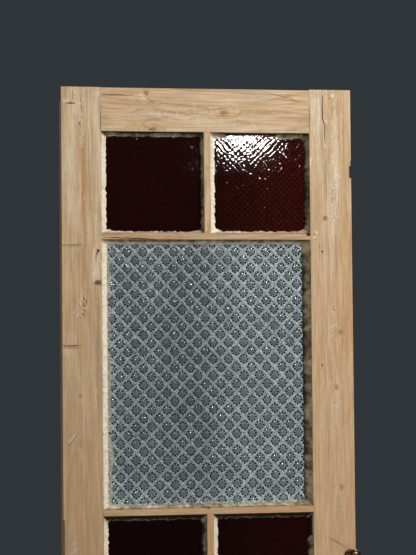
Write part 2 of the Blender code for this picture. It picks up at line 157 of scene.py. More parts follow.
class PuttySettings(bpy.types.PropertyGroup):
    colour: colour_setting(
        "Putty", "Colour of the old putty where it is clean", (0.97, 0.87, 0.70),
    )
    raggedness: length_setting(
        "Raggedness", "How far the putty's inner edge strays from a straight line",
        0.0, 0.004, 0.0025,
    )


class KnobSettings(bpy.types.PropertyGroup):
    brass: colour_setting(
        "Brass", "Colour of the knob where hands keep it bright", (0.30, 0.195, 0.105),
    )
    patina: colour_setting(
        "Patina", "Colour of the knob where it has darkened", (0.060, 0.036, 0.022),
    )


class StageSettings(bpy.types.PropertyGroup):
    key_power: bpy.props.FloatProperty(
        name="Key light", description="Power of the large soft light at the upper right",
        subtype="POWER", unit="POWER", min=0.0, max=2000.0, default=65.0,
    )
    backdrop: colour_setting(
        "Backdrop", "Colour of the surroundings", (0.030, 0.036, 0.042),
    )
    floor: colour_setting(
        "Floor", "Colour of the floor", (0.55, 0.54, 0.52),
    )


class DoorSettings(bpy.types.PropertyGroup):
    pine: bpy.props.PointerProperty(type=PineSettings)
    ruby: bpy.props.PointerProperty(type=RubySettings)
    daisies: bpy.props.PointerProperty(type=DaisySettings)
    putty: bpy.props.PointerProperty(type=PuttySettings)
    knob: bpy.props.PointerProperty(type=KnobSettings)
    stage: bpy.props.PointerProperty(type=StageSettings)


def settings():
    return bpy.context.scene.pantry_door


# ---- Finishes


class Finish:
    """A node material, with short ways of adding the nodes that this door's finishes use."""

    def __init__(self, name, roughness=0.5, specular=0.5):
        self.material = bpy.data.materials.new(name)
        self.material.use_nodes = True
        self.tree = self.material.node_tree
        self.shader = self.tree.nodes["Principled BSDF"]
        self.place = self.node("ShaderNodeTexCoord").outputs["Object"]
        self.set("Roughness", roughness)
        self.set("Specular IOR Level", specular)

    def node(self, kind, **options):
        node = self.tree.nodes.new(kind)
        for key, value in options.items():
            setattr(node, key, value)
        return node

    def feed(self, socket, value):
        """Links a node's output to the socket, or writes a plain value in it."""
        if isinstance(value, bpy.types.NodeSocket):
            self.tree.links.new(value, socket)
        elif socket.type == "RGBA":
            socket.default_value = (*value, 1.0)
        else:
            socket.default_value = value

    def set(self, name, value):
        self.feed(self.shader.inputs[name], value)

    def math(self, operation, first, second=0.0):
        node = self.node("ShaderNodeMath", operation=operation)
        self.feed(node.inputs[0], first)
        self.feed(node.inputs[1], second)
        return node.outputs[0]

    def chain(self, operation, values):
        total = values[0]
        for value in values[1:]:
            total = self.math(operation, total, value)
        return total

    def times(self, *values):
        return self.chain("MULTIPLY", values)

    def plus(self, *values):
        return self.chain("ADD", values)

    def minus(self, first, second):
        return self.math("SUBTRACT", first, second)

    def off(self, value, level):
        """How far the value is from a level, either way."""
        return self.math("ABSOLUTE", self.minus(value, level))

    def vector(self, operation, first, second=(0.0, 0.0, 0.0)):
        node = self.node("ShaderNodeVectorMath", operation=operation)
        self.feed(node.inputs[0], first)
        self.feed(node.inputs[1], second)
        return node.outputs["Value" if operation == "LENGTH" else "Vector"]

    def shade(self, colour, amount):
        """The colour made lighter or darker by a factor."""
        node = self.node("ShaderNodeVectorMath", operation="SCALE")
        self.feed(node.inputs[0], colour)
        self.feed(node.inputs["Scale"], amount)
        return node.outputs["Vector"]

    def split(self, vector):
        node = self.node("ShaderNodeSeparateXYZ")
        self.feed(node.inputs[0], vector)
        return node.outputs

    def noise(self, vector, scale, detail=2.0, roughness=0.5, distortion=0.0):
        node = self.node("ShaderNodeTexNoise")
        self.feed(node.inputs["Vector"], vector)
        self.feed(node.inputs["Scale"], scale)
        self.feed(node.inputs["Detail"], detail)
        self.feed(node.inputs["Roughness"], roughness)
        self.feed(node.inputs["Distortion"], distortion)
        return node.outputs[0]

    def loosened(self, vector, scale, reach):
        """The vector, pushed about by a noise as far as reach says on each axis."""
        node = self.node("ShaderNodeTexNoise")
        self.feed(node.inputs["Vector"], vector)
        self.feed(node.inputs["Scale"], scale)
        push = self.vector("SUBTRACT", node.outputs["Color"], (0.5, 0.5, 0.5))
        return self.vector("ADD", vector, self.vector("MULTIPLY", push, reach))

    def cells(self, vector, scale, feature="F1"):
        node = self.node("ShaderNodeTexVoronoi", feature=feature)
        self.feed(node.inputs["Vector"], vector)
        self.feed(node.inputs["Scale"], scale)
        return node.outputs["Distance"]

    def span(self, value, low, high, to_low=0.0, to_high=1.0):
        """The value, mapped smoothly from one range to another and held at its ends."""
        node = self.node("ShaderNodeMapRange", interpolation_type="SMOOTHSTEP")
        for socket, given in zip(node.inputs, (value, low, high, to_low, to_high)):
            self.feed(socket, given)
        return node.outputs[0]

    def mix(self, amount, first, second):
        node = self.node("ShaderNodeMix", data_type="RGBA")
        self.feed(node.inputs[0], amount)
        self.feed(node.inputs[6], first)
        self.feed(node.inputs[7], second)
        return node.outputs[2]

    def spot(self, vector, centre, half_sizes, lean):
        """Distance from a spot's centre, where 1 is its edge. It may lean in the face's plane."""
        node = self.node("ShaderNodeMapping", vector_type="TEXTURE")
        self.feed(node.inputs["Vector"], vector)
        self.feed(node.inputs["Location"], centre)
        self.feed(node.inputs["Rotation"], (0.0, math.radians(lean), 0.0))
        self.feed(node.inputs["Scale"], half_sizes)
        return self.vector("LENGTH", node.outputs[0])

    def bump(self, height, distance, strength=1.0):
        node = self.node("ShaderNodeBump")
        self.feed(node.inputs["Strength"], strength)
        self.feed(node.inputs["Distance"], distance)
        self.feed(node.inputs["Height"], height)
        self.tree.links.new(node.outputs["Normal"], self.shader.inputs["Normal"])


MARK_COLOURS = {
    "filler": (0.80, 0.74, 0.62),
    "pale": (0.86, 0.76, 0.58),
    "burr": (0.40, 0.20, 0.085),
    "dark": (0.075, 0.045, 0.028),
    "grime": (0.24, 0.17, 0.10),
    "khaki": (0.42, 0.37, 0.26),
    "red": (0.52, 0.235, 0.085),
    "curl": (0.90, 0.83, 0.70),
}
KNOT_CORE = (0.46, 0.265, 0.130)
KNOT_RIM = (0.20, 0.110, 0.058)
LIMED = (0.80, 0.67, 0.52)
WARM_STREAK = (0.62, 0.345, 0.165)
# Old brown colour of the leaf's outer edges and ends, which also paints shade on those faces
OLD_EDGE_AND_SHADE = (0.42, 0.215, 0.090)
MARK_DEPTH = 0.012  # how far a mark goes in from the front face
KNOT_DEPTH = 0.060


class Grain:
    """The grain of one member: the places and noises that the steps of its finish share."""

    def __init__(self, finish, member):
        self.finish = finish
        self.member = member
        self.upright = member.along == "z"
        self.x, self.y, self.z = finish.split(finish.place)
        shift = (member.seed * 0.7, member.seed * 0.31, member.seed)
        self.shifted = finish.vector("ADD", finish.place, shift)
        self.loose = finish.loosened(finish.place, 160.0, (0.004, 0.0, 0.004))
        self.knots = [self.spot(knot, KNOT_DEPTH) for knot in member.knots]

    def spot(self, mark, depth, lean=0.0):
        """Distance from a knot or a mark, where 1 is its edge."""
        x, z = on_face(mark.across, mark.down)
        halves = (mark.half_width * MM, depth, mark.half_length * MM)
        return self.finish.spot(self.loose, (x, FRONT, z), halves, lean)

    def noise(self, squeeze, *values):
        """A noise drawn out along the grain: the smaller the squeeze, the longer its streaks."""
        scale = (1.0, 1.0, squeeze) if self.upright else (squeeze, 1.0, 1.0)
        return self.finish.noise(self.finish.vector("MULTIPLY", self.shifted, scale), *values)

    def radius(self):
        """Distance from the pith, which bends round the knots."""
        finish, member = self.finish, self.member
        across, length = (self.x, self.z) if self.upright else (self.z, self.x)
        wander = finish.minus(self.noise(0.16, 13.0, 2.0), 0.5)
        ripple = finish.minus(self.noise(0.07, 85.0, 3.0), 0.5)
        side = finish.minus(finish.minus(across, member.pith[0]), finish.times(length, member.lean))
        deep = finish.minus(finish.minus(self.y, member.pith[1]), finish.times(length, member.dive))
        squares = finish.plus(finish.math("POWER", side, 2.0), finish.math("POWER", deep, 2.0))
        radius = finish.math("SQRT", squares)
        radius = finish.plus(radius, finish.times(wander, 0.020), finish.times(ripple, 0.0022))
        for knot, distance in zip(member.knots, self.knots):
            bend = finish.span(distance, 0.3, knot.reach, 1.0, 0.0)
            swell = min(knot.half_width, knot.half_length) * MM * knot.reach * 0.45
            radius = finish.plus(radius, finish.times(bend, swell))
        return radius

    def late_wood(self):
        """Share of hard late wood: it grows slowly through each year and ends sharply."""
        finish = self.finish
        rings = finish.math("DIVIDE", self.radius(), self.member.spacing)
        within = finish.math("FRACT", rings)
        grows, ends = finish.span(within, 0.45, 0.90), finish.span(within, 0.93, 1.0, 1.0, 0.0)
        year = finish.noise(finish.vector("MULTIPLY", rings, (1.0, 0.0, 0.0)), 0.55, 1.0)
        year = finish.span(year, 0.30, 0.70, 0.08, self.member.contrast)
        return finish.times(grows, ends, year)

    def bloom(self, threads):
        """Share of the pale bloom that stripping leaves, thinner low on the door."""
        finish = self.finish
        return finish.times(
            finish.span(self.noise(0.10, 34.0, 5.0, 0.62), 0.42, 0.66),
            self.member.bloom,
            finish.span(threads, 0.32, 0.60, 0.55, 1.15),
            finish.span(self.z, 0.10, 0.90, 0.45, 1.0),
        )

    def with_knots(self, colour):
        finish = self.finish
        for distance in self.knots:
            colour = finish.mix(finish.span(distance, 0.9, 2.6, 0.42, 0.0), colour, WARM_STREAK)
            turns = finish.math("FRACT", finish.times(distance, 2.6))
            core = finish.mix(finish.span(turns, 0.2, 0.9), KNOT_CORE, KNOT_RIM)
            colour = finish.mix(finish.span(distance, 0.86, 1.06, 0.88, 0.0), colour, core)
            rim = finish.span(finish.off(distance, 1.0), 0.0, 0.22, 0.55, 0.0)
            colour = finish.mix(rim, colour, KNOT_RIM)
        return colour

    def with_marks(self, colour):
        finish = self.finish
        curls = finish.off(finish.noise(self.loose, 170.0, 1.0, 0.4, 0.6), 0.5)
        curls = finish.span(curls, 0.0, 0.05, 1.0, 0.0)
        ragged = finish.span(self.noise(0.4, 230.0, 4.0, 0.7), 0.3, 0.7, 0.62, 1.60)
        left_on = finish.span(self.noise(0.10, 360.0, 4.0, 0.65), 0.40, 0.60, 0.30, 1.0)
        for mark in self.member.marks:
            distance = finish.times(self.spot(mark, MARK_DEPTH, mark.lean), ragged)
            amount = finish.span(distance, 0.50, 1.30, mark.strength, 0.0)
            if mark.kind == "curl":
                amount = finish.times(amount, curls)
            elif mark.kind == "pale":
                amount = finish.times(amount, left_on)
            colour = finish.mix(amount, colour, MARK_COLOURS[mark.kind])
        return colour

    def with_old_edges(self, colour, blotches):
        """The leaf's outer edges and ends are painted darker brown: partly their old brown colour,
        partly painted shade on these side faces and ends.
        """
        finish = self.finish
        facing = finish.split(finish.node("ShaderNodeNewGeometry").outputs["Normal"])
        sideways = finish.span(finish.math("ABSOLUTE", facing[0]), 0.55, 0.85)
        upward = finish.span(finish.math("ABSOLUTE", facing[2]), 0.80, 0.95)
        left_edge = finish.span(self.x, 0.001, 0.008, 1.0, 0.0)
        right_edge = finish.span(self.x, LEAF_WIDTH - 0.008, LEAF_WIDTH - 0.001)
        outer = finish.times(sideways, finish.math("MAXIMUM", left_edge, right_edge))
        ends = finish.times(upward, finish.span(finish.math("ABSOLUTE", self.z), 0.975, 0.98))
        # aged carries both the old brown colour and the painted shade of the side faces and ends
        aged = finish.math("MAXIMUM", outer, ends)
        aged = finish.times(aged, finish.span(blotches, 0.3, 0.7, 0.55, 0.85))
        return finish.mix(aged, colour, OLD_EDGE_AND_SHADE)


def pine_finish(name, member):
    """Stripped pine. The year rings are shells round a pith that lies behind the board."""
    pine = settings().pine
    finish = Finish(name, specular=0.35)
    grain = Grain(finish, member)
    late = grain.late_wood()
    fibres = grain.noise(0.022, 1100.0, 3.0, 0.6)
    threads = grain.noise(0.035, 400.0, 3.0, 0.65)
    streaks = grain.noise(0.05, 130.0, 4.0, 0.6)
    flecks = grain.noise(0.28, 330.0, 4.0, 0.65)
    blotches = grain.noise(0.35, 9.0, 4.0, 0.55)

    colour = finish.mix(late, tuple(pine.early_wood), tuple(pine.late_wood))
    colour = finish.mix(finish.span(blotches, 0.42, 0.72, 0.0, member.warmth), colour, WARM_STREAK)
    colour = finish.mix(grain.bloom(threads), colour, LIMED)
    colour = finish.shade(colour, finish.span(streaks, 0.25, 0.75, 0.93, 1.05))
    colour = finish.shade(colour, finish.span(threads, 0.28, 0.72, 0.80, 1.16))
    colour = finish.shade(colour, finish.span(fibres, 0.25, 0.75, 0.90, 1.08))
    colour = finish.mix(finish.span(flecks, 0.60, 0.72, 0.0, 0.42), colour, MARK_COLOURS["grime"])
    colour = finish.mix(finish.span(flecks, 0.30, 0.40, 0.40, 0.0), colour, MARK_COLOURS["pale"])
    colour = grain.with_marks(grain.with_knots(colour))
    handled = finish.noise(finish.place, 22.0, 6.0, 0.65)
    handled = finish.span(handled, 0.56, 0.78, 0.0, member.dirt)
    colour = finish.mix(handled, colour, MARK_COLOURS["grime"])
    colour = finish.mix(finish.span(grain.z, 0.10, 0.85, 0.24, 0.0), colour, WARM_STREAK)
    low_tone = member.tone * member.foot
    colour = finish.shade(colour, finish.span(grain.z, -0.10, 0.85, low_tone, member.tone))
    finish.set("Base Color", grain.with_old_edges(colour, blotches))
    finish.set("Roughness", finish.span(streaks, 0.2, 0.8, 0.52, 0.74))
    relief = finish.plus(finish.times(late, 0.5), finish.times(fibres, 0.9), streaks)
    finish.bump(relief, 0.00035, 0.5)
    return finish.material


def crack_dirt_and_shade_finish():
    """The dark, dusty inside of cracks, holes and old cuts: partly dirt, partly painted shade in
    these recesses.
    """
    finish = Finish("dirt and painted shade in the cracks", roughness=0.9, specular=0.1)
    crumbs = finish.noise(finish.place, 700.0, 4.0, 0.6)
    # Near-black colour: partly dirt, partly painted shade where the recess is shaded
    finish.set("Base Color", finish.mix(crumbs, (0.035, 0.022, 0.014), (0.115, 0.070, 0.040)))
    finish.bump(crumbs, 0.0004)
    return finish.material


GLASS_IOR = 1.5
RUBY_LIT_DOTS = (0.85, 0.22, 0.12)  # painted light: paler spots at the middles of the dimples, where light let through would show


def ruby_finish():
    ruby = settings().ruby
    finish = Finish("ruby glass", roughness=0.03, specular=0.5)
    cloud = finish.noise(finish.place, 38.0, 3.0)
    deep = tuple(channel * 0.78 for channel in ruby.colour)
    colour = finish.mix(cloud, tuple(ruby.colour), deep)
    mottle = finish.noise(finish.place, 300.0, 3.0, 0.7)
    colour = finish.shade(colour, finish.span(mottle, 0.38, 0.62, 0.55, 1.60))
    x, _, z = finish.split(finish.place)
    turns = math.tau / (ruby.dimple_pitch * math.sqrt(2))
    across, up = (finish.math("COSINE", finish.times(way, turns)) for way in (x, z))
    # Painted light: paler spots at the dimples, stronger towards the upper right where the light
    # falls
    lit_dots = finish.times(
        finish.span(finish.times(across, up), 0.2, 0.9),
        finish.span(mottle, 0.42, 0.60),
        finish.span(x, 0.26, 0.36, 0.30, 1.0),
        finish.span(z, 0.15, 0.70, 0.35, 1.0),
    )
    colour = finish.mix(lit_dots, colour, RUBY_LIT_DOTS)
    # Painted light: the ruby is brighter towards the upper right, where the light falls, and darker
    # low and to the left
    painted_light = finish.times(finish.span(x, 0.26, 0.50, 0.80, 1.7), finish.span(z, 0.2, 0.8, 0.50, 1.0))
    finish.set("Base Color", finish.shade(colour, painted_light))
    finish.set("Transmission Weight", 0.982)
    finish.set("IOR", GLASS_IOR)
    finish.bump(finish.noise(finish.place, 380.0, 2.0, 0.5), 0.00001)
    return finish.material


DUST_AND_LIGHT_BANDS = (  # where a paler band begins and ends, and how pale it is at each, partly dust and partly painted light: two across
    (0.27, 0.38, 0.0, 0.44), (0.094, 0.126, 0.42, 0.0),
    (0.128, 0.168, 0.45, 0.0), (0.16, 0.40, 0.14, 0.0), (0.640, 0.668, 0.0, 0.22),  # and three up
)


def patterned_finish(name, tint, clear, roughness, grain, depth):
    """One part of the patterned pane. clear is the share of light that goes through it."""
    finish = Finish(name, roughness=roughness, specular=0.5)
    x, _, z = finish.split(finish.place)
    cloud = finish.noise(finish.place, 22.0, 5.0, 0.6)
    dust = finish.noise(finish.place, 400.0, 3.0, 0.65)
    colour = finish.shade(tint, finish.span(cloud, 0.25, 0.75, 0.80, 1.16))
    # Partly dust, partly painted light: a darker band near the middle, paler towards the right
    # where the light falls, and paler near the bottom and the top
    dust_and_light_film = finish.plus(
        finish.minus(1.03, finish.span(x, 0.17, 0.25, 0.0, 0.18)),
        *(finish.span(place, *band) for place, band in zip((x, x, z, z, z), DUST_AND_LIGHT_BANDS)),
    )
    colour = finish.shade(colour, dust_and_light_film)
    finish.set("Base Color", finish.shade(colour, finish.span(dust, 0.3, 0.7, 0.50, 1.50)))
    finish.set("Transmission Weight", clear)
    finish.set("IOR", GLASS_IOR)
    stipple = finish.cells(finish.place, grain)
    finish.bump(finish.plus(stipple, finish.times(dust, 0.4)), depth, 0.9)
    return finish.material


def putty_finish():
    """Old putty: cream where it is clean, browned by dirt and painted shade, near black where
    painted shadow falls, cracked and dusty.
    """
    finish = Finish("old putty", specular=0.25)
    cream = tuple(settings().putty.colour)
    patches = finish.noise(finish.place, 55.0, 5.0, 0.62)
    specks = finish.noise(finish.place, 380.0, 4.0, 0.62)
    grime = finish.node("ShaderNodeAttribute", attribute_name="grime").outputs["Fac"]
    colour = finish.mix(finish.span(patches, 0.46, 0.70, 0.0, 0.45), cream, (0.60, 0.45, 0.27))
    colour = finish.mix(finish.span(specks, 0.59, 0.72, 0.0, 0.75), colour, (0.22, 0.15, 0.09))
    colour = finish.mix(finish.span(specks, 0.36, 0.50, 0.85, 0.0), colour, (0.97, 0.93, 0.84))
    # The grime attribute is dirt and painted shade: up to 1 it browns the putty, above 1 it paints
    # near-black shadow
    dirt_and_shade = finish.mix(finish.span(patches, 0.35, 0.65), (0.130, 0.100, 0.055), (0.42, 0.34, 0.20))
    colour = finish.mix(finish.span(grime, 0.0, 1.0), colour, dirt_and_shade)
    colour = finish.mix(finish.span(grime, 1.0, 1.6), colour, (0.022, 0.017, 0.013))
    apart = finish.vector("ADD", finish.place, (0.3, 0.1, 0.2))
    crack = finish.cells(apart, 120.0, "DISTANCE_TO_EDGE")
    colour = finish.mix(finish.span(crack, 0.0, 0.035, 0.45, 0.0), colour, (0.12, 0.09, 0.06))
    finish.set("Base Color", colour)
    finish.set("Roughness", finish.span(specks, 0.3, 0.7, 0.72, 0.95))
    cracked = finish.span(crack, 0.0, 0.05, 0.0, 0.5)
    height = finish.plus(patches, finish.times(specks, 0.6), cracked)
    finish.bump(height, 0.0009, 0.8)
    return finish.material


def brass_finish():
    knob = settings().knob
    finish = Finish("aged brass", specular=0.5)
    stains = finish.noise(finish.place, 210.0, 5.0, 0.62)
    pits = finish.noise(finish.place, 1500.0, 3.0, 0.6)
    worn = finish.span(stains, 0.46, 0.72)
    finish.set("Base Color", finish.mix(worn, tuple(knob.patina), tuple(knob.brass)))
    finish.set("Metallic", 1.0)
    finish.set("Roughness", finish.span(stains, 0.3, 0.7, 0.46, 0.24))
    finish.bump(finish.plus(stains, finish.times(pits, 0.4)), 0.00018, 0.6)
    return finish.material


# ---- Pieces


def finished_piece(name, form, materials, replaced, sharp=None):
    """Makes the form a piece that stands for CAD nodes: faceted, or smooth below an angle."""
    mesh = bpy.data.meshes.new(name)
    form.to_mesh(mesh)
    form.free()
    obj = bpy.data.objects.new(name, mesh)
    bpy.context.scene.collection.objects.link(obj)
    for material in materials:
        mesh.materials.append(material)
    if sharp is None:
        mesh.shade_flat()
    else:
        mesh.shade_smooth()
        mesh.set_sharp_from_angle(angle=math.radians(sharp))
    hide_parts(*replaced)
    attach(obj, "root")
    return obj


def on_outline(point, low, high, slack):
    """Whether a point lies on the edge of a rectangle in X and Z."""
    inside_x = low.x - slack < point.x < high.x + slack
    inside_z = low.z - slack < point.z < high.z + slack
    on_x = min(abs(point.x - low.x), abs(point.x - high.x)) < slack
    on_z = min(abs(point.z - low.z), abs(point.z - high.z)) < slack
    return (on_x and inside_z) or (on_z and inside_x)


ARRIS_ANGLE = 25  # degrees that two faces turn at an arris, at least
LEAF_SLACK = 0.0020
PANEL_SLACK = 0.0100


def open_rectangles():
    """The leaf's outline and its openings, where the arrises are open to wear."""
    sights = [(low, high, ARRIS_GAP + 0.0002) for low, high in OPENINGS.values()]
    leaf = (Vector((0.0, 0.0, LEAF_BOTTOM)), Vector((LEAF_WIDTH, 0.0, LEAF_TOP)), LEAF_SLACK)
    bottom_rail_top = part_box("bottom_rail")[1].z
    mid_rail_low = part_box("mid_rail")[0].z
    panel = (
        Vector((OPENINGS["middle"][0].x, 0.0, bottom_rail_top)),
        Vector((OPENINGS["middle"][1].x, 0.0, mid_rail_low)),
        PANEL_SLACK,
    )
    return [leaf, panel, *sights]


def is_open_arris(edge, rectangles):
    """Whether an edge is an arris on the front or the back that wear can reach."""
    if len(edge.link_faces) != 2 or edge.calc_face_angle_signed(0.0) < math.radians(ARRIS_ANGLE):
        return False
    middle = (edge.verts[0].co + edge.verts[1].co) / 2
    if min(abs(middle.y - FRONT), abs(middle.y - BACK)) > 0.0001:
        return False
    return any(on_outline(middle, low, high, slack) for low, high, slack in rectangles)


WEAR_STEP = 0.008
WIDE = 0.15  # a member wider than this is sliced into four along its length
MERGE = 0.00002  # points nearer than this are one point
ROUNDED = 1  # marks the rounded arrises until they are worn


def sliced(form, point, normal, **options):
    """Adds a line of edges where a plane passes through the form."""
    geometry = form.verts[:] + form.edges[:] + form.faces[:]
    bmesh.ops.bisect_plane(form, geom=geometry, plane_co=point, plane_no=normal, **options)


def wear_at(point):
    """How worn an arris is at a point: slow and quick changes, and a few deeper knocks."""
    amount = 1.1 * max(0.0, noise.noise(point * 22) + 0.15)
    amount += 1.2 * max(0.0, noise.noise(point * 95) - 0.1)
    return amount + 3.0 * max(0.0, noise.noise(point * 48) - 0.42)


def worn_member(node, along, seed):
    """The member's form with small roundings on its open arrises, which wear makes uneven."""
    pine = settings().pine
    form = bmesh.new()
    form.from_mesh(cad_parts[node].data)
    bmesh.ops.remove_doubles(form, verts=form.verts, dist=MERGE)
    flat = math.radians(1)
    bmesh.ops.dissolve_limit(form, angle_limit=flat, verts=form.verts, edges=form.edges)
    direction, across = Vector((0.0, 0.0, 1.0)), Vector((1.0, 0.0, 0.0))
    if along == "x":
        direction, across = across, direction
    low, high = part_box(node)
    for opening in OPENINGS.values():
        for corner in opening:
            if low @ direction < corner @ direction < high @ direction:
                sliced(form, corner, direction, dist=0.00001)
    rectangles = open_rectangles()
    arrises = [edge for edge in form.edges if is_open_arris(edge, rectangles)]
    bmesh.ops.bevel(
        form, geom=arrises, offset=pine.arris_round, segments=2, profile=0.5,
        affect="EDGES", clamp_overlap=True, material=ROUNDED,
    )
    length = (high - low) @ direction
    steps = int(length / WEAR_STEP)
    for step in range(1, steps):
        sliced(form, low + direction * length * step / steps, direction, dist=0.00001)
    width = (high - low) @ across
    if width > WIDE:
        for step in range(1, 4):
            sliced(form, low + across * width * step / 4, across, dist=0.00001)
    form.normal_update()
    rounded = [face for face in form.faces if face.material_index == ROUNDED]
    worn = {vertex for face in rounded for vertex in face.verts}
    for vertex in worn:
        place = vertex.co + Vector((seed * 3.1, 0.0, seed * 1.7))
        shift = vertex.normal * -wear_at(place) * pine.arris_wear
        for face in vertex.link_faces:
            if face.material_index != ROUNDED:
                shift -= face.normal * shift.dot(face.normal)
        vertex.co += shift
        vertex.co.y = min(max(vertex.co.y, low.y), high.y)
    for face in form.faces:
        face.material_index = 0
    return form


CRACK_STEP = 0.006
CRACK_STRAY = 0.35  # millimetres
HOLE_POINTS = 9
HOLE_SHAPE = ((-1.0, 1.15), (0.3, 1.0), (5.0, 0.6))  # how deep in millimetres, share of the radius


class Blades:
    """Closed blades that cut the cracks, holes and chips out of a member's front."""

    def __init__(self, seed):
        self.form = bmesh.new()
        self.random = Random(seed)

    def loft(self, sections):
        """Joins rings of points with the same count, and closes both ends."""
        rings = [[self.form.verts.new(point) for point in section] for section in sections]
        for ring, following in zip(rings, rings[1:]):
            for index, vertex in enumerate(ring):
                after = (index + 1) % len(ring)
                self.form.faces.new((vertex, ring[after], following[after], following[index]))
        self.form.faces.new(rings[0][::-1])
        self.form.faces.new(rings[-1])

    def crack(self, points, width, depth):
        """A V-shaped cut along points in millimetres, narrowing to nothing at both ends."""
        line = [Vector(on_face(*point)) for point in points]
        dense = [line[0]]
        for start, end in zip(line, line[1:]):
            count = max(2, int((end - start).length / CRACK_STEP))
            for step in range(1, count + 1):
                dense.append(start.lerp(end, step / count))
        sections = []
        last = len(dense) - 1
        for index, point in enumerate(dense):
            way = (dense[min(index + 1, last)] - dense[max(index - 1, 0)]).normalized()
            beside = Vector((-way.y, way.x))
            if 0 < index < last:
                point = point + beside * self.random.uniform(-CRACK_STRAY, CRACK_STRAY) * MM
            share = max(0.15, math.sin(math.pi * index / last) ** 0.5)
            share *= self.random.uniform(0.8, 1.0)
            deep = depth * MM * share
            half = width * MM / 2 * share * (1 + MM / deep)
            sections.append([
                (point.x - beside.x * half, FRONT - MM, point.y - beside.y * half),
                (point.x + beside.x * half, FRONT - MM, point.y + beside.y * half),
                (point.x, FRONT + deep, point.y),
            ])
        self.loft(sections)

    def hole(self, across, down, radius):
        """A nail or worm hole that narrows as it goes in."""
        x, z = on_face(across, down)
        sections = []
        for deep, share in HOLE_SHAPE:
            ring = []
            for step in range(HOLE_POINTS):
                angle = math.tau * step / HOLE_POINTS
                size = radius * MM * share * (1 + 0.12 * math.sin(3 * angle + across))
                place = (x + size * math.cos(angle), FRONT + deep * MM, z + size * math.sin(angle))
                ring.append(place)
            sections.append(ring)
        self.loft(sections)

    def chip(self, across, down, halves):
        """A lump of wood knocked out. halves are its half sizes in X, Y and Z."""
        x, z = on_face(across, down)
        middle = Vector((x, FRONT, z))
        place = Matrix.Translation(middle) @ Matrix.Diagonal((*(Vector(halves) * MM), 1.0))
        made = bmesh.ops.create_icosphere(self.form, subdivisions=2, radius=1.0, matrix=place)
        for vertex in made["verts"]:
            vertex.co = middle + (vertex.co - middle) * (1 + 0.35 * noise.noise(vertex.co * 260))

    def apply(self, form, crack_dirt_and_shade):
        """Cuts the blades out of the form and returns the cut form."""
        meshes = []
        for each, label in ((form, "member"), (self.form, "blades")):
            bmesh.ops.recalc_face_normals(each, faces=each.faces)
            mesh = bpy.data.meshes.new(label)
            each.to_mesh(mesh)
            each.free()
            meshes.append(mesh)
        target, cutter = (bpy.data.objects.new(mesh.name, mesh) for mesh in meshes)
        cutter.data.materials.append(crack_dirt_and_shade)
        target.data.materials.append(None)
        for obj in (target, cutter):
            bpy.context.scene.collection.objects.link(obj)
        cut = target.modifiers.new("cuts", "BOOLEAN")
        cut.operation = "DIFFERENCE"
        cut.solver = "EXACT"
        cut.material_mode = "TRANSFER"
        cut.object = cutter
        graph = bpy.context.evaluated_depsgraph_get()
        result = bmesh.new()
        result.from_mesh(target.evaluated_get(graph).to_mesh())
        bmesh.ops.remove_doubles(result, verts=result.verts, dist=MERGE)
        for obj in (target, cutter):
            bpy.data.objects.remove(obj)
        return result


# A member's pith lies across and behind it, spacing is the width of a year, and lean and dive turn
# the pith from the member's length. The rest are shares: how pale the member is and how much of
# that is left at its foot, then its warm streaks, dirt, pale bloom and contrast of the year rings.
# Cracks are points in millimetres with a width and a depth, holes have a radius, and chips have
# half sizes.
Member = namedtuple(
    "Member",
    "node along seed pith spacing lean dive tone foot warmth dirt bloom contrast"
    " knots marks cracks holes chips",
    defaults=((), (), (), (), ()),
)

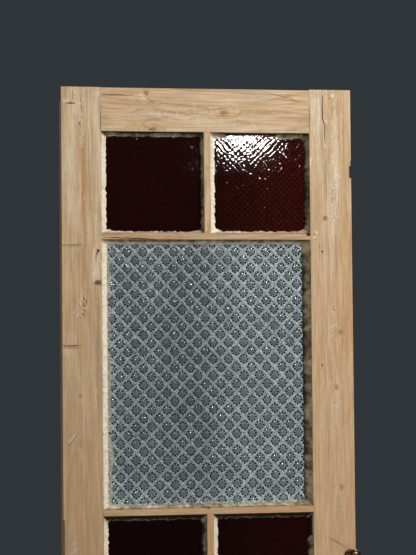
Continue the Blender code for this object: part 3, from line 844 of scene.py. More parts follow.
HINGE_STILE = Member(
    "hinge_stile", "z", seed=1.0, pith=(0.030, 0.074), spacing=0.0046, lean=0.004, dive=0.016,
    tone=0.92, foot=0.88, warmth=0.40, dirt=0.36, bloom=0.42, contrast=0.36,
    knots=(
        Knot(75, 404, 6.4, 5.0),
        Knot(44, 450, 2.6, 4.2, 5.0),
        Knot(36, 636, 2.4, 2.4, 3.5),
        Knot(25, 940, 4.0, 5.0, 4.5),
        Knot(52, 1260, 5.5, 4.4),
        Knot(30, 1610, 4.4, 5.2),
    ),
    marks=(
        Mark("filler", 10, 30, 7.0, 5.0, 0, 0.55),
        Mark("filler", 41, 36, 5.0, 3.0, 20, 0.75),
        Mark("filler", 43, 58, 3.0, 4.6, 0, 0.85),
        Mark("dark", 38, 77, 1.5, 3.6, 0, 0.9),
        Mark("dark", 43, 131, 1.8, 2.4, 0, 0.9),
        Mark("red", 39, 92, 1.6, 16.0, 4, 0.6),
        Mark("red", 45, 190, 3.0, 105.0, 1, 0.75),
        Mark("red", 48, 290, 2.6, 70.0, -2, 0.60),
        Mark("red", 44, 385, 6.0, 50.0, 0, 0.35),
        Mark("curl", 43, 60, 8.0, 60.0, 0, 0.45),
        Mark("pale", 71, 30, 6.0, 34.0, 0, 0.50),
        Mark("pale", 20, 200, 15.0, 100.0, 0, 0.42),
        Mark("pale", 70, 368, 9.5, 42.0, 0, 0.95),
        Mark("curl", 68, 372, 8.0, 36.0, 0, 0.60),
        Mark("dark", 74, 340, 3.6, 4.4, 25, 0.75),
        Mark("burr", 71, 352, 3.2, 9.0, 12, 0.65),
        Mark("dark", 75, 404, 6.6, 4.8, 0, 0.90),
        Mark("dark", 70, 404, 2.4, 5.6, 30, 0.90),
        Mark("pale", 79, 160, 2.5, 90.0, 0, 0.45),
        Mark("curl", 43, 450, 10.0, 36.0, 0, 0.9),
        Mark("red", 42, 452, 5.0, 26.0, 8, 0.45),
        Mark("pale", 24, 942, 5.5, 14.0, 0, 0.60),
        Mark("curl", 24, 942, 9.0, 26.0, 0, 0.5),
        Mark("red", 40, 560, 1.6, 70.0, 0, 0.40),
        Mark("red", 22, 640, 1.6, 90.0, 0, 0.35),
        Mark("red", 46, 468, 7.0, 18.0, 0, 0.45),
        Mark("filler", 38, 446, 1.6, 9.0, -20, 0.85),
        Mark("filler", 42, 460, 1.5, 8.0, 15, 0.80),
        Mark("filler", 32, 470, 1.5, 7.0, 35, 0.75),
        Mark("filler", 27, 462, 1.4, 7.0, 30, 0.60),
        Mark("filler", 19, 723, 2.4, 17.0, 40, 0.65),
        Mark("curl", 26, 40, 8.0, 26.0, 0, 0.70),
        Mark("filler", 28, 12, 1.6, 9.0, -25, 0.60),
        # Painted highlight on the stile's arris by the top rail, partly a pale band of wax
        Mark("filler", 77, 14, 3.4, 10.0, 0, 0.60),
        Mark("pale", 12, 545, 11.0, 12.0, 0, 0.60),
        Mark("grime", 20, 329, 24.0, 3.0, 0, 0.45),
        Mark("grime", 18, 535, 22.0, 4.0, 0, 0.60),
        Mark("pale", 16, 516, 16.0, 14.0, 0, 0.18),
        Mark("dark", 18, 35, 9.0, 2.0, 0, 0.65),
        Mark("grime", 74, 560, 6.0, 150.0, 0, 0.30),
        Mark("khaki", 3, 926, 4.5, 39.0, 0, 0.85),
    ),
    cracks=(
        ([(-3, 326), (18, 326.4), (46, 325)], 1.0, 1.6),
        ([(-3, 532), (14, 533.4), (38, 531)], 1.5, 2.2),
        ([(42, 12), (41, 30), (43.5, 48), (43, 70)], 1.1, 1.4),
        ([(24, 3), (25, 18), (22.5, 33)], 0.9, 1.2),
        ([(12, 36), (20, 35), (31, 36)], 2.0, 2.4),
        ([(35, 707), (24, 721), (10, 737)], 1.1, 0.6),
        ([(81.6, 40), (81.4, 66), (81.7, 94)], 0.9, 2.2),
        ([(43, 433), (49, 442)], 2.3, 1.6),
        ([(52, 438), (49, 449)], 2.3, 1.6),
        ([(43, 448), (51, 453)], 2.0, 1.4),
        ([(41, 458), (49, 463)], 2.2, 1.5),
        ([(41, 465), (46, 474)], 2.2, 1.5),
        ([(56, 1120), (55, 1190), (57, 1275)], 0.8, 1.8),
        ([(28, 1820), (29, 1895), (27, 1960)], 1.0, 2.4),
    ),
    holes=((75, 338, 2.5), (72.5, 345, 1.7), (45, 1010, 1.0), (60, 1500, 1.1)),
)

LOCK_STILE = Member(
    "lock_stile", "z", seed=2.0, pith=(0.590, 0.066), spacing=0.0050, lean=-0.004, dive=-0.018,
    tone=0.90, foot=1.08, warmth=0.52, dirt=0.20, bloom=0.42, contrast=0.36,
    knots=(
        Knot(567, 19, 3.2, 3.6, 5.5),
        Knot(553, 270, 4.6, 4.8, 4.5),
        Knot(584, 508, 4.8, 4.2),
        Knot(573, 623, 4.2, 4.4, 4.5),
        Knot(581, 831, 4.8, 5.0, 4.5),
        Knot(548, 1180, 5.0, 4.5),
        Knot(575, 1540, 4.4, 5.2),
    ),
    marks=(
        Mark("filler", 550, 8, 2.4, 5.0, 0, 0.90),
        Mark("filler", 572, 13, 3.4, 6.0, 35, 0.90),
        Mark("filler", 567, 21, 1.8, 1.8, 0, 0.90),
        Mark("filler", 558, 66, 1.8, 5.0, -25, 0.85),
        Mark("burr", 541, 12, 6.0, 8.0, 20, 0.45),
        Mark("pale", 537, 60, 11.0, 60.0, 0, 0.60),
        Mark("burr", 554, 127, 2.6, 4.0, 0, 0.60),
        Mark("pale", 577, 130, 8.0, 110.0, 0, 0.60),
        Mark("curl", 573, 190, 12.0, 80.0, 0, 0.85),
        Mark("curl", 570, 268, 10.0, 44.0, 0, 0.85),
        Mark("curl", 566, 505, 9.0, 24.0, 0, 0.85),
        Mark("curl", 566, 462, 5.0, 12.0, 0, 0.80),
        Mark("curl", 572, 828, 9.0, 26.0, 0, 0.70),
        Mark("filler", 576, 178, 1.8, 16.0, 0, 0.7),
        Mark("red", 594, 100, 2.4, 100.0, 0, 0.60),
        Mark("red", 585, 70, 1.4, 70.0, 0, 0.45),
        Mark("red", 553, 175, 2.0, 60.0, 0, 0.40),
        Mark("curl", 571, 665, 9.0, 60.0, 0, 0.75),
        Mark("curl", 575, 880, 12.0, 60.0, 0, 0.3),
        Mark("filler", 534, 300, 3.0, 3.2, 20, 1.0),
        Mark("filler", 531, 311, 3.0, 4.2, -15, 1.0),
        Mark("filler", 523, 150, 2.8, 10.0, 0, 1.0),
        Mark("dark", 529, 303, 1.4, 2.2, 0, 0.8),
        Mark("dark", 531, 314, 1.4, 2.0, 0, 0.8),
        Mark("dark", 541, 330, 1.3, 1.6, 0, 0.8),
        Mark("dark", 570, 462, 2.0, 2.4, 0, 0.8),
        Mark("red", 569, 945, 20.0, 2.4, 28, 0.60),
        Mark("grime", 607, 172, 4.0, 16.0, 0, 0.35),
        Mark("grime", 598, 972, 17.0, 20.0, 0, 0.40),
        Mark("pale", 540, 700, 7.0, 120.0, 0, 0.30),
        Mark("red", 597, 520, 1.8, 200.0, 0, 0.35),
        Mark("red", 536, 560, 1.5, 160.0, 0, 0.30),
    ),
    cracks=(
        (
            [(549, -3), (550, 16), (549.4, 34), (549.6, 59), (555, 76), (554, 92), (555, 116)],
            2.2, 2.6,
        ),
        ([(553, 934), (568, 943), (587, 955)], 1.0, 0.6),
        ([(521.4, 30), (521.6, 60), (521.3, 88)], 1.0, 1.6),
        ([(557, 150), (556, 200), (558, 240)], 0.7, 0.8),
        ([(560, 1300), (561, 1390), (559, 1450)], 0.7, 1.8),
    ),
    holes=((546, 340, 2.0), (543, 577, 1.7), (590, 1420, 1.1)),
)

TOP_RAIL = Member(
    "top_rail", "x", seed=3.0, pith=(0.912, 0.066), spacing=0.0040, lean=0.010, dive=0.026,
    tone=0.935, foot=1.0, warmth=0.10, dirt=0.30, bloom=0.36, contrast=0.80,
    knots=(
        Knot(176, 13, 5.0, 5.0, 8.0),
        Knot(190, 87, 6.0, 3.2, 6.0),
        Knot(339, 51, 7.0, 3.8, 6.0),
    ),
    marks=(
        Mark("red", 467, 17, 46.0, 3.4, -12, 0.60),
        Mark("red", 116, 18, 34.0, 2.6, 0, 0.60),
        Mark("red", 160, 30, 14.0, 1.8, 40, 0.55),
        Mark("red", 185, 32, 14.0, 1.8, -35, 0.55),
        Mark("curl", 170, 55, 30.0, 10.0, 0, 0.35),
        Mark("burr", 160, 48, 14.0, 2.0, -12, 0.60),
        Mark("burr", 180, 84, 12.0, 2.4, 22, 0.65),
        Mark("burr", 338, 58, 22.0, 2.0, 0, 0.60),
        Mark("burr", 330, 42, 16.0, 1.6, -8, 0.55),
        Mark("curl", 250, 55, 80.0, 12.0, 0, 0.60),
        Mark("burr", 345, 53, 7.0, 3.4, 0, 0.50),
        Mark("burr", 486, 24, 32.0, 3.4, 8, 0.50),
        Mark("burr", 280, 3, 62.0, 2.6, 0, 0.50),
        Mark("burr", 240, 52, 40.0, 1.8, 6, 0.50),
        Mark("burr", 205, 64, 34.0, 1.8, -7, 0.50),
        Mark("pale", 172, 20, 14.0, 6.0, 40, 0.70),
        Mark("burr", 182, 26, 13.0, 2.0, 40, 0.60),
        Mark("dark", 187, 88, 6.0, 1.8, 20, 0.55),
        Mark("pale", 300, 70, 90.0, 7.0, 0, 0.40),
        Mark("pale", 400, 84, 100.0, 5.0, 0, 0.40),
        Mark("grime", 480, 60, 30.0, 2.2, 0, 0.35),
    ),
    cracks=(
        ([(83, 17), (118, 16.2), (152, 17.4)], 1.2, 1.8),
        ([(430, 8), (468, 16), (506, 26)], 0.9, 1.0),
    ),
)

UPPER_BAR = Member(
    "upper_glazing_bar", "x", seed=4.0, pith=(0.700, 0.050), spacing=0.0034, lean=0.0, dive=0.02,
    tone=0.86, foot=1.0, warmth=0.6, dirt=0.45, bloom=0.14, contrast=0.85,
    cracks=(([(84, 311), (130, 312.2), (196, 314.4)], 2.2, 3.0),),
    chips=((518, 303, (6.0, 5.0, 5.0)),),
)
LOWER_BAR = Member(
    "lower_glazing_bar", "x", seed=5.0, pith=(0.130, 0.048), spacing=0.0034, lean=0.0, dive=-0.02,
    tone=0.92, foot=1.0, warmth=0.7, dirt=0.50, bloom=0.12, contrast=0.85,
    chips=((300, 868.5, (5.0, 1.6, 1.4)),),
)
UPPER_MUNTIN = Member(
    "upper_muntin", "z", seed=6.0, pith=(0.310, 0.045), spacing=0.0032, lean=0.0, dive=0.02,
    tone=0.96, foot=1.0, warmth=0.95, dirt=0.55, bloom=0.04, contrast=0.7,
)
LOWER_MUNTIN = Member(
    "lower_muntin", "z", seed=7.0, pith=(0.300, 0.050), spacing=0.0032, lean=0.0, dive=0.02,
    tone=0.95, foot=1.0, warmth=0.95, dirt=0.45, bloom=0.04, contrast=0.7,
)
MID_RAIL = Member(
    "mid_rail", "x", seed=8.0, pith=(-0.190, 0.090), spacing=0.0048, lean=0.010, dive=0.030,
    tone=0.95, foot=1.0, warmth=0.5, dirt=0.30, bloom=0.36, contrast=0.7,
    knots=(Knot(205, 1180, 7.0, 5.5, 5.0), Knot(430, 1225, 5.0, 4.2)),
    cracks=(([(360, 1150), (420, 1149), (500, 1151)], 0.8, 1.6),),
)
BOTTOM_RAIL = Member(
    "bottom_rail", "x", seed=9.0, pith=(-0.860, 0.095), spacing=0.0048, lean=-0.008, dive=0.028,
    tone=0.88, foot=1.0, warmth=0.5, dirt=0.42, bloom=0.30, contrast=0.7,
    knots=(Knot(300, 1850, 7.5, 6.0, 5.0), Knot(150, 1800, 4.5, 4.0)),
    marks=(Mark("grime", 300, 1970, 240.0, 22.0, 0, 0.55),),
    cracks=(([(100, 1935), (160, 1934), (240, 1936)], 0.9, 1.8),),
)
LOWER_PANEL = Member(
    "lower_panel", "z", seed=10.0, pith=(0.260, 0.150), spacing=0.0052, lean=0.006, dive=0.030,
    tone=0.97, foot=1.0, warmth=0.5, dirt=0.28, bloom=0.36, contrast=0.7,
    knots=(Knot(240, 1480, 6.5, 7.5, 4.5), Knot(400, 1640, 5.0, 6.0), Knot(180, 1370, 4.4, 5.0)),
)
FRAMING = (
    HINGE_STILE, LOCK_STILE, TOP_RAIL, MID_RAIL, BOTTOM_RAIL,
    UPPER_BAR, LOWER_BAR, UPPER_MUNTIN, LOWER_MUNTIN,
)


def make_member(member, crack_dirt_and_shade):
    form = worn_member(member.node, member.along, member.seed)
    if member.cracks or member.holes or member.chips:
        blades = Blades(member.seed)
        for points, width, depth in member.cracks:
            blades.crack(points, width, depth)
        for across, down, radius in member.holes:
            blades.hole(across, down, radius)
        for across, down, halves in member.chips:
            blades.chip(across, down, halves)
        form = blades.apply(form, crack_dirt_and_shade)
    pine = pine_finish("stripped pine, " + member.node.replace("_", " "), member)
    name = "pine_" + member.node
    return finished_piece(name, form, [pine, crack_dirt_and_shade], [member.node])


# ---- Glass


def close_back(form, back):
    """Gives an open sheet its edges and a flat back."""
    rim = [edge for edge in form.edges if len(edge.link_faces) == 1]
    made = bmesh.ops.extrude_edge_only(form, edges=rim)["geom"]
    for vertex in made:
        if isinstance(vertex, bmesh.types.BMVert):
            vertex.co.y = back
    outer = [item for item in made if isinstance(item, bmesh.types.BMEdge)]
    bmesh.ops.edgeloop_fill(form, edges=outer)
    bmesh.ops.recalc_face_normals(form, faces=form.faces)


RUBY_STEP = 0.0013
RUBY_SWAY = 0.0030  # how far the rows of dimples wander
SEED_SHARE = 0.022  # share of the points where a small seed in the glass lifts or sinks the front
SEED_SIZE = 2.6  # in dimple depths
RUBY_BASE = 4.5  # keeps nearly all of the front inside the pane's box, in dimple depths


def rolled_depth(x, z, pitch):
    """How deep the rolled front of a ruby pane is at a point, in dimple depths: dimples in
    diagonal rows, slow swells, fine pits and a few lumps."""

    def swell(scale, layer):
        return noise.noise(Vector((x * scale, layer, z * scale)))

    sway = Vector((x * 55, 0.0, z * 55))
    across = x + RUBY_SWAY * noise.noise(sway)
    up = z + RUBY_SWAY * noise.noise(sway + Vector((5.0, 2.0, 1.0)))
    turns = math.tau / (pitch * math.sqrt(2))
    dimple = (1 - math.cos(across * turns) * math.cos(up * turns)) / 2
    dimple *= 1.6 + 1.6 * swell(60, 12.0)
    dimple += 1.2 * swell(45, 4.0) + 0.30 * swell(300, 8.0)
    return dimple + 6.5 * max(0.0, swell(230, 6.0) - 0.30)


def dimpled_pane(label, finish):
    ruby = settings().ruby
    low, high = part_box("pane_" + label)
    columns = round((high.x - low.x) / RUBY_STEP)
    rows = round((high.z - low.z) / RUBY_STEP)
    seeds = Random(round(low.x * 1000) + round(low.z * 1000))
    form = bmesh.new()
    grid = []
    for row in range(rows + 1):
        z = low.z + (high.z - low.z) * row / rows
        line = []
        for column in range(columns + 1):
            x = low.x + (high.x - low.x) * column / columns
            depth = RUBY_BASE + rolled_depth(x, z, ruby.dimple_pitch)
            if seeds.random() < SEED_SHARE:
                depth += seeds.uniform(-SEED_SIZE, SEED_SIZE)
            y = low.y + ruby.dimple_depth * max(0.0, depth)
            line.append(form.verts.new((x, y, z)))
        grid.append(line)
    for line, above in zip(grid, grid[1:]):
        for column in range(columns):
            form.faces.new((line[column], line[column + 1], above[column + 1], above[column]))
    close_back(form, high.y)
    finished_piece("ruby_" + label, form, [finish], ["pane_" + label], sharp=50.0)


PETALS = 8
CLEAR, PETAL_ROOT, GROUND, BAND, SMEARED = range(5)
RING_PARTS = (PETAL_ROOT, PETAL_ROOT, CLEAR, GROUND, BAND)  # from a daisy's middle outwards
LINE_HALF = 0.0011  # half the width of the raised lines between the daisies
SHORT_PETAL = 0.96  # every other petal has this share of the daisy's radius
# For each spoke of a petal: degrees from its middle, share of its length, and the rises of the
# petal's four rings. The last spoke is the notch between two petals.
PETAL_SPOKES = (
    (-14.5, 0.96, (0.90, 0.46, 0.04, 0.00)),
    (0.0, 1.00, (0.90, 0.47, 0.05, 0.00)),
    (14.5, 0.96, (0.90, 0.46, 0.04, 0.00)),
    (22.5, 0.84, (0.90, 0.44, 0.09, 0.10)),
)
PETAL_RINGS = (0.28, 0.54, 0.66, 1.0)
NEAR_LINE_RISE, LINE_RISE = 0.18, 0.60
SPOKES = len(PETAL_SPOKES) * PETALS
SWAPPED = 0.2  # share of the faces where the stippled ground and the frosted line change places
DAISY_AT = on_face(298.6, 545.7)
DAISY_STRETCH = 1.058  # the rolled pattern is this much longer upwards than across
DAISY_TILT = 0.0065  # and its rows rise this much to the right
LEAST_GAP = 0.0002  # between the rings of a daisy
GROUND_STRAY = (-0.0006, 0.0003)  # how unevenly the ground ends by the lines
RISE_STRAY = (-0.10, 0.25)
# How far the smears reach from the putty and how ragged they are, at the side and at the foot
SIDE_SMEAR = (0.0062, 0.0055)
FOOT_SMEAR = (0.0032, 0.0042)


def daisy_spokes(daisies):
    """For each spoke of a daisy, its angle and the (distance, rise) of its points outwards. The
    last point is on the diamond where this daisy's ground meets its neighbours'."""
    spokes = []
    line_share = 1 - LINE_HALF * 2 * math.sqrt(2) / daisies.pitch
    for petal in range(PETALS):
        length = daisies.radius * (SHORT_PETAL if petal % 2 else 1.0)
        for turn, share, rises in PETAL_SPOKES:
            angle = math.radians(petal * 360 / PETALS + turn)
            edge = daisies.pitch / 2 / (abs(math.cos(angle)) + abs(math.sin(angle)))
            in_notch = turn == PETAL_SPOKES[-1][0]
            tip = share * (daisies.radius * SHORT_PETAL if in_notch else length)
            line = [(tip * reach, rise) for reach, rise in zip(PETAL_RINGS, rises)]
            line.append((max(tip + LEAST_GAP, edge * line_share), NEAR_LINE_RISE))
            line.append((edge, LINE_RISE))
            spokes.append((angle, line))
    return spokes


def daisy_centres(low, high, half, half_up):
    """Centres of the daisies that cover a pane, on every other crossing of a grid."""
    start_x, start_z = DAISY_AT
    first_column = math.floor((low.x - start_x) / half) - 1
    columns = range(first_column, math.ceil((high.x - start_x) / half) + 2)
    rows = range(
        math.floor((low.z - start_z) / half_up) - 1, math.ceil((high.z - start_z) / half_up) + 2
    )
    return [
        (start_x + column * half, start_z + row * half_up)
        for row in rows for column in columns if (row + column) % 2 == 0
    ]


def add_daisy(x, z, front, spokes, relief, stray, points, faces, parts):
    """Adds one daisy, its ground and its half of the lines round it."""
    base = len(points)
    points.append((x, front, z + DAISY_TILT * (x - DAISY_AT[0])))
    rings = len(spokes[0][1])
    for ring in range(rings):
        for angle, line in spokes:
            distance, rise = line[ring]
            if ring == rings - 2:
                distance += stray.uniform(*GROUND_STRAY)
                distance = max(line[ring - 1][0] + LEAST_GAP, distance)
                rise += stray.uniform(*RISE_STRAY)
            across = x + distance * math.cos(angle)
            up = z + distance * math.sin(angle) * DAISY_STRETCH
            up += DAISY_TILT * (across - DAISY_AT[0])
            points.append((across, front + relief * (1 - rise), up))
    for spoke in range(SPOKES):
        after = (spoke + 1) % SPOKES
        in_notch = spoke % len(PETAL_SPOKES) >= 2
        at_corner = (spoke + 1) % (2 * len(PETAL_SPOKES)) < 2
        faces.append((base, base + 1 + spoke, base + 1 + after))
        parts.append(PETAL_ROOT)
        for ring, part in enumerate(RING_PARTS):
            inner = base + 1 + ring * SPOKES
            outer = inner + SPOKES
            faces.append((inner + spoke, outer + spoke, outer + after, inner + after))
            if part == CLEAR and in_notch:
                part = GROUND
            elif part in (GROUND, BAND):
                swapped = stray.random() < SWAPPED
                if (part == BAND and at_corner) != swapped:
                    part = GROUND + BAND - part
            parts.append(part)


def smear(form):
    """Marks the faces beside the left putty and above the bottom putty, where it was smeared."""
    left, _, _, bottom = PUTTY_WIDTHS["middle"]
    sight = OPENINGS["middle"][0]
    for face in form.faces:
        middle = face.calc_center_median()
        ragged = noise.noise(Vector((middle.x * 24, 3.0, middle.z * 24)))
        ragged += 0.9 * noise.noise(Vector((middle.x * 190, 7.0, middle.z * 190)))
        from_side = middle.x - sight.x - left * MM
        from_foot = middle.z - sight.z - bottom * MM
        for gap, (reach, stray) in ((from_side, SIDE_SMEAR), (from_foot, FOOT_SMEAR)):
            if gap < reach + stray * ragged:
                face.material_index = SMEARED


def patterned_pane(materials):
    daisies = settings().daisies
    low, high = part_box("pane_middle")
    spokes = daisy_spokes(daisies)
    half = daisies.pitch / 2
    stray = Random(83)
    points, faces, parts = [], [], []
    for x, z in daisy_centres(low, high, half, half * DAISY_STRETCH):
        add_daisy(x, z, low.y, spokes, daisies.relief, stray, points, faces, parts)
    mesh = bpy.data.meshes.new("daisies")
    mesh.from_pydata(points, [], faces)
    mesh.polygons.foreach_set("material_index", parts)
    form = bmesh.new()
    form.from_mesh(mesh)
    bpy.data.meshes.remove(mesh)
    for corner, way in ((low, -1.0), (high, 1.0)):
        for normal in (Vector((way, 0.0, 0.0)), Vector((0.0, 0.0, way))):
            sliced(form, corner, normal, dist=0.000005, clear_outer=True)
    bmesh.ops.remove_doubles(form, verts=form.verts, dist=MERGE)
    smear(form)
    close_back(form, high.y)
    finished_piece(
        "patterned_pane", form, materials, ["pane_middle"], sharp=60.0,
    )


# ---- Putty

LEFT, TOP, RIGHT, BOTTOM = "left", "top", "right", "bottom"
PUTTY_WIDTHS = {  # millimetres, on the left, top, right and bottom of each opening
    "upper_left": (11.5, 8.5, 5.2, 4.0),
    "upper_right": (11.0, 10.0, 8.5, 4.5),
    "middle": (12.0, 9.0, 15.5, 6.5),
    "lower_left": (11.5, 10.0, 9.0, 8.0),
    "lower_right": (11.0, 10.0, 10.0, 8.0),
}
PUTTY_CORNERS = {  # radius of the putty's inner corners, millimetres
    "upper_left": 5.0, "upper_right": 9.0, "middle": 5.0, "lower_left": 5.0, "lower_right": 6.0,
}
PUTTY_GRIME_AND_SHADE = {  # how dark each side is painted next to the wood, half way and next to the glass: dirt, and painted shade on the shaded top and right sides
    LEFT: (0.28, 0.0, 0.0),
    TOP: (1.25, 0.60, 0.0),
    RIGHT: (1.05, 1.15, 1.60),
    BOTTOM: (0.80, 0.30, 0.50),
}
SHADED_TOPS = {  # painted shadow along the top of these, under the wood above them
    "upper_left": 0.55, "upper_right": 0.35, "lower_left": 1.05, "lower_right": 1.05,
}
GRIMY_FOOT = 0.30  # more grime along the bottom of the large pane
REMAINS_SHADE = 2.0  # how dark the thin remains are painted where the putty is lost: painted shadow in the rebate
LOST_PUTTY = {  # side, and how far along it in millimetres from the left or the top
    "upper_right": (TOP, 31.0, 142.0),
    "lower_right": (RIGHT, 3.0, 46.0),
}
STRAIGHTER = 0.55  # the inner edge strays less round the large pane
PUTTY_STEP = 0.0021
PUTTY_ROWS = 7
CORNER_LUMP = 0.0035  # how much higher the putty is heaped in the bottom corners
CORNER_REACH = 0.014
GLASS_SINK = 0.0003  # the putty's bed goes this far into the pane's relief
SAG = 0.0011  # how far the putty sinks under the arris it is pressed against
EDGE_THICK = 0.0006  # how thick the putty's inner edge stands on the glass
LUMP, SMALL_LUMP = 0.0016, 0.0007
CORNER_BLEND = 0.012  # how near a corner the grime of two sides blends
REMAINS_WIDTH = 0.46  # where the putty is lost, thin remains keep this share of its width
REMAINS_THICK = 0.0011


def putty_sides(label):
    """The opening's four sides in turn, with their inward directions and putty widths."""
    low, high = OPENINGS[label]
    corners = {
        LEFT: ((low.x, low.z), (low.x, high.z), (1.0, 0.0)),
        TOP: ((low.x, high.z), (high.x, high.z), (0.0, -1.0)),
        RIGHT: ((high.x, high.z), (high.x, low.z), (-1.0, 0.0)),
        BOTTOM: ((high.x, low.z), (low.x, low.z), (0.0, 1.0)),
    }
    widths = dict(zip((LEFT, TOP, RIGHT, BOTTOM), PUTTY_WIDTHS[label]))
    return {
        side: Side(Vector(start), Vector(end), Vector(inward), widths[side] * MM)
        for side, (start, end, inward) in corners.items()
    }


def inner_point(side, before, after, radius, share):
    """The point and inward direction on the putty's rounded inner line."""
    along = (side.end - side.start).normalized()
    start = side.start + along * before.width + side.inward * side.width
    end = side.end - along * after.width + side.inward * side.width
    arc = math.pi * radius / 4
    straight = (end - start).length - 2 * radius
    at = share * (straight + 2 * arc)
    if at < arc:
        turn = math.radians(45) * (1 - at / arc)
        facing = side.inward * math.cos(turn) + along * math.sin(turn)
        return start + (along + side.inward) * radius - facing * radius, facing
    if at > arc + straight:
        turn = math.radians(45) * (at - arc - straight) / arc
        facing = side.inward * math.cos(turn) - along * math.sin(turn)
        return end + (side.inward - along) * radius - facing * radius, facing
    return start + along * (radius + at - arc), side.inward


def putty_profile(outer, inner, top, glass, face):
    """Points of one section, from the wood to the inner edge on the glass and back under it."""
    points = []
    for row in range(PUTTY_ROWS + 1):
        across = row / PUTTY_ROWS
        flat = outer.lerp(inner, across)
        place = Vector((flat.x * 170, 3.0 * across, flat.y * 170))
        lump = LUMP * noise.noise(place) + SMALL_LUMP * noise.noise(place * 2.7)
        lump *= math.sin(math.pi * (0.12 + 0.80 * across))
        y = top + (glass - EDGE_THICK - top) * across ** 0.92 + lump
        points.append((flat.x, max(face, y), flat.y))
    return [*points, (inner.x, glass, inner.y), (outer.x, glass, outer.y)]


def grime_and_shade_here(label, side, beside, near, spot):
    """How dark the putty is painted at a spot, for dirt and painted shade: by the wood, half way
    and by the glass. It blends into the side beside it at the corner, near metres away."""
    blend = 0.5 + 0.5 * min(1.0, near / CORNER_BLEND)
    uneven = 0.30 * noise.noise(spot * 30) + 0.35 * noise.noise(spot * 130)
    if side == TOP:
        uneven += SHADED_TOPS.get(label, 0.0)
    elif side == BOTTOM and label == "middle":
        uneven += GRIMY_FOOT
    return [
        max(0.0, here * blend + there * (1 - blend) + uneven)
        for here, there in zip(PUTTY_GRIME_AND_SHADE[side], PUTTY_GRIME_AND_SHADE[beside])
    ]


def putty_sections(label):
    """Sections round the opening: for each, its points and how dark it is painted, for dirt and
    painted shade, at three places.
    """
    sides = putty_sides(label)
    order = (LEFT, TOP, RIGHT, BOTTOM)
    radius = PUTTY_CORNERS[label] * MM
    ragged = settings().putty.raggedness * (STRAIGHTER if label == "middle" else 1.0)
    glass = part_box("pane_" + label)[0].y + GLASS_SINK
    face = OPENINGS[label][0].y
    lost_side, lost_from, lost_to = LOST_PUTTY.get(label, (None, 0.0, 0.0))
    sections = []
    for number, name in enumerate(order):
        side = sides[name]
        before, after = order[number - 1], order[(number + 1) % 4]
        length = (side.end - side.start).length
        count = round(length / PUTTY_STEP)
        for step in range(count):
            share = step / count
            near = min(share, 1 - share) * length
            outer = side.start.lerp(side.end, share)
            inner, facing = inner_point(side, sides[before], sides[after], radius, share)
            spot = Vector((inner.x, 0.0, inner.y))
            stray = 0.8 * noise.noise(spot * 75) + 0.9 * noise.noise(spot * 190)
            stray += 0.6 * noise.noise(spot * 480)
            inner = inner + facing * stray * ragged
            if name == BOTTOM:
                inner += side.inward * CORNER_LUMP * math.exp(-((near / CORNER_REACH) ** 2))
            # Where the putty is lost, the thin remains are painted near black: painted shadow in
            # the rebate
            if name == lost_side and lost_from < share * length / MM < lost_to:
                inner = outer.lerp(inner, REMAINS_WIDTH)
                grime = [REMAINS_SHADE] * 3
                top = glass - REMAINS_THICK
            else:
                grime = grime_and_shade_here(label, name, before if share < 0.5 else after, near, spot)
                top = face + SAG * max(0.0, 0.25 + noise.noise(spot * 42 + Vector((9, 0, 0))))
            sections.append((putty_profile(outer, inner, top, glass, face), grime))
    return sections


def make_putty(label, finish):
    form = bmesh.new()
    # The grime attribute carries dirt and painted shade
    grime_and_shade_layer = form.verts.layers.float.new("grime")
    rings = []
    for points, (by_wood, half_way, by_glass) in putty_sections(label):
        ring = [form.verts.new(point) for point in points]
        for index, vertex in enumerate(ring):
            across = min(1.0, index / PUTTY_ROWS)
            if across < 0.5:
                vertex[grime_and_shade_layer] = by_wood + (half_way - by_wood) * across * 2
            else:
                vertex[grime_and_shade_layer] = half_way + (by_glass - half_way) * (across * 2 - 1)
        rings.append(ring)
    for ring, following in zip(rings, rings[1:] + rings[:1]):
        for index, vertex in enumerate(ring):
            after = (index + 1) % len(ring)
            form.faces.new((vertex, following[index], following[after], ring[after]))
    bmesh.ops.recalc_face_normals(form, faces=form.faces)
    finished_piece("old_putty_" + label, form, [finish], ["putty_" + label], sharp=40.0)


# ---- Knob


KNOB_SPOKES = 72
KNOB_HALF_DEPTH = 0.0100
KNOB_NECK = 0.0055
KNOB_FOOT = 0.0115
HEAD_STEPS = 28
COVE_STEPS = 10
BEAD = 0.0003  # depth of the grooves turned round the head and the foot
BEAD_STEPS = (14, 15)
FOOT_THICK = 0.0025
FOOT_GROOVE = ((0.0, 0.0021), (BEAD, 0.0018), (0.0, 0.0015))  # depth, and how far from the back
KNOB_WEAR = 0.012  # share of the radius that handling has taken off at most


def knob_line(low, high):
    """Radius and depth of the turned knob from its tip to its foot, from its CAD box."""
    head = (high.x - low.x) / 2
    middle = low.y + KNOB_HALF_DEPTH
    points = [(0.0, low.y)]
    meets = math.asin(KNOB_NECK / head)
    for step in range(1, HEAD_STEPS + 1):
        angle = (math.pi - meets) * step / HEAD_STEPS
        bead = BEAD if step in BEAD_STEPS else 0.0
        points.append((head * math.sin(angle) - bead, middle - KNOB_HALF_DEPTH * math.cos(angle)))
    cove = KNOB_FOOT - KNOB_NECK
    for step in range(COVE_STEPS + 1):
        angle = math.pi / 2 * step / COVE_STEPS
        depth = high.y - FOOT_THICK - cove * (1 - math.sin(angle))
        points.append((KNOB_FOOT - cove * math.cos(angle), depth))
    points += [(KNOB_FOOT - groove, high.y - back) for groove, back in FOOT_GROOVE]
    return [*points, (KNOB_FOOT, high.y), (0.0, high.y)]


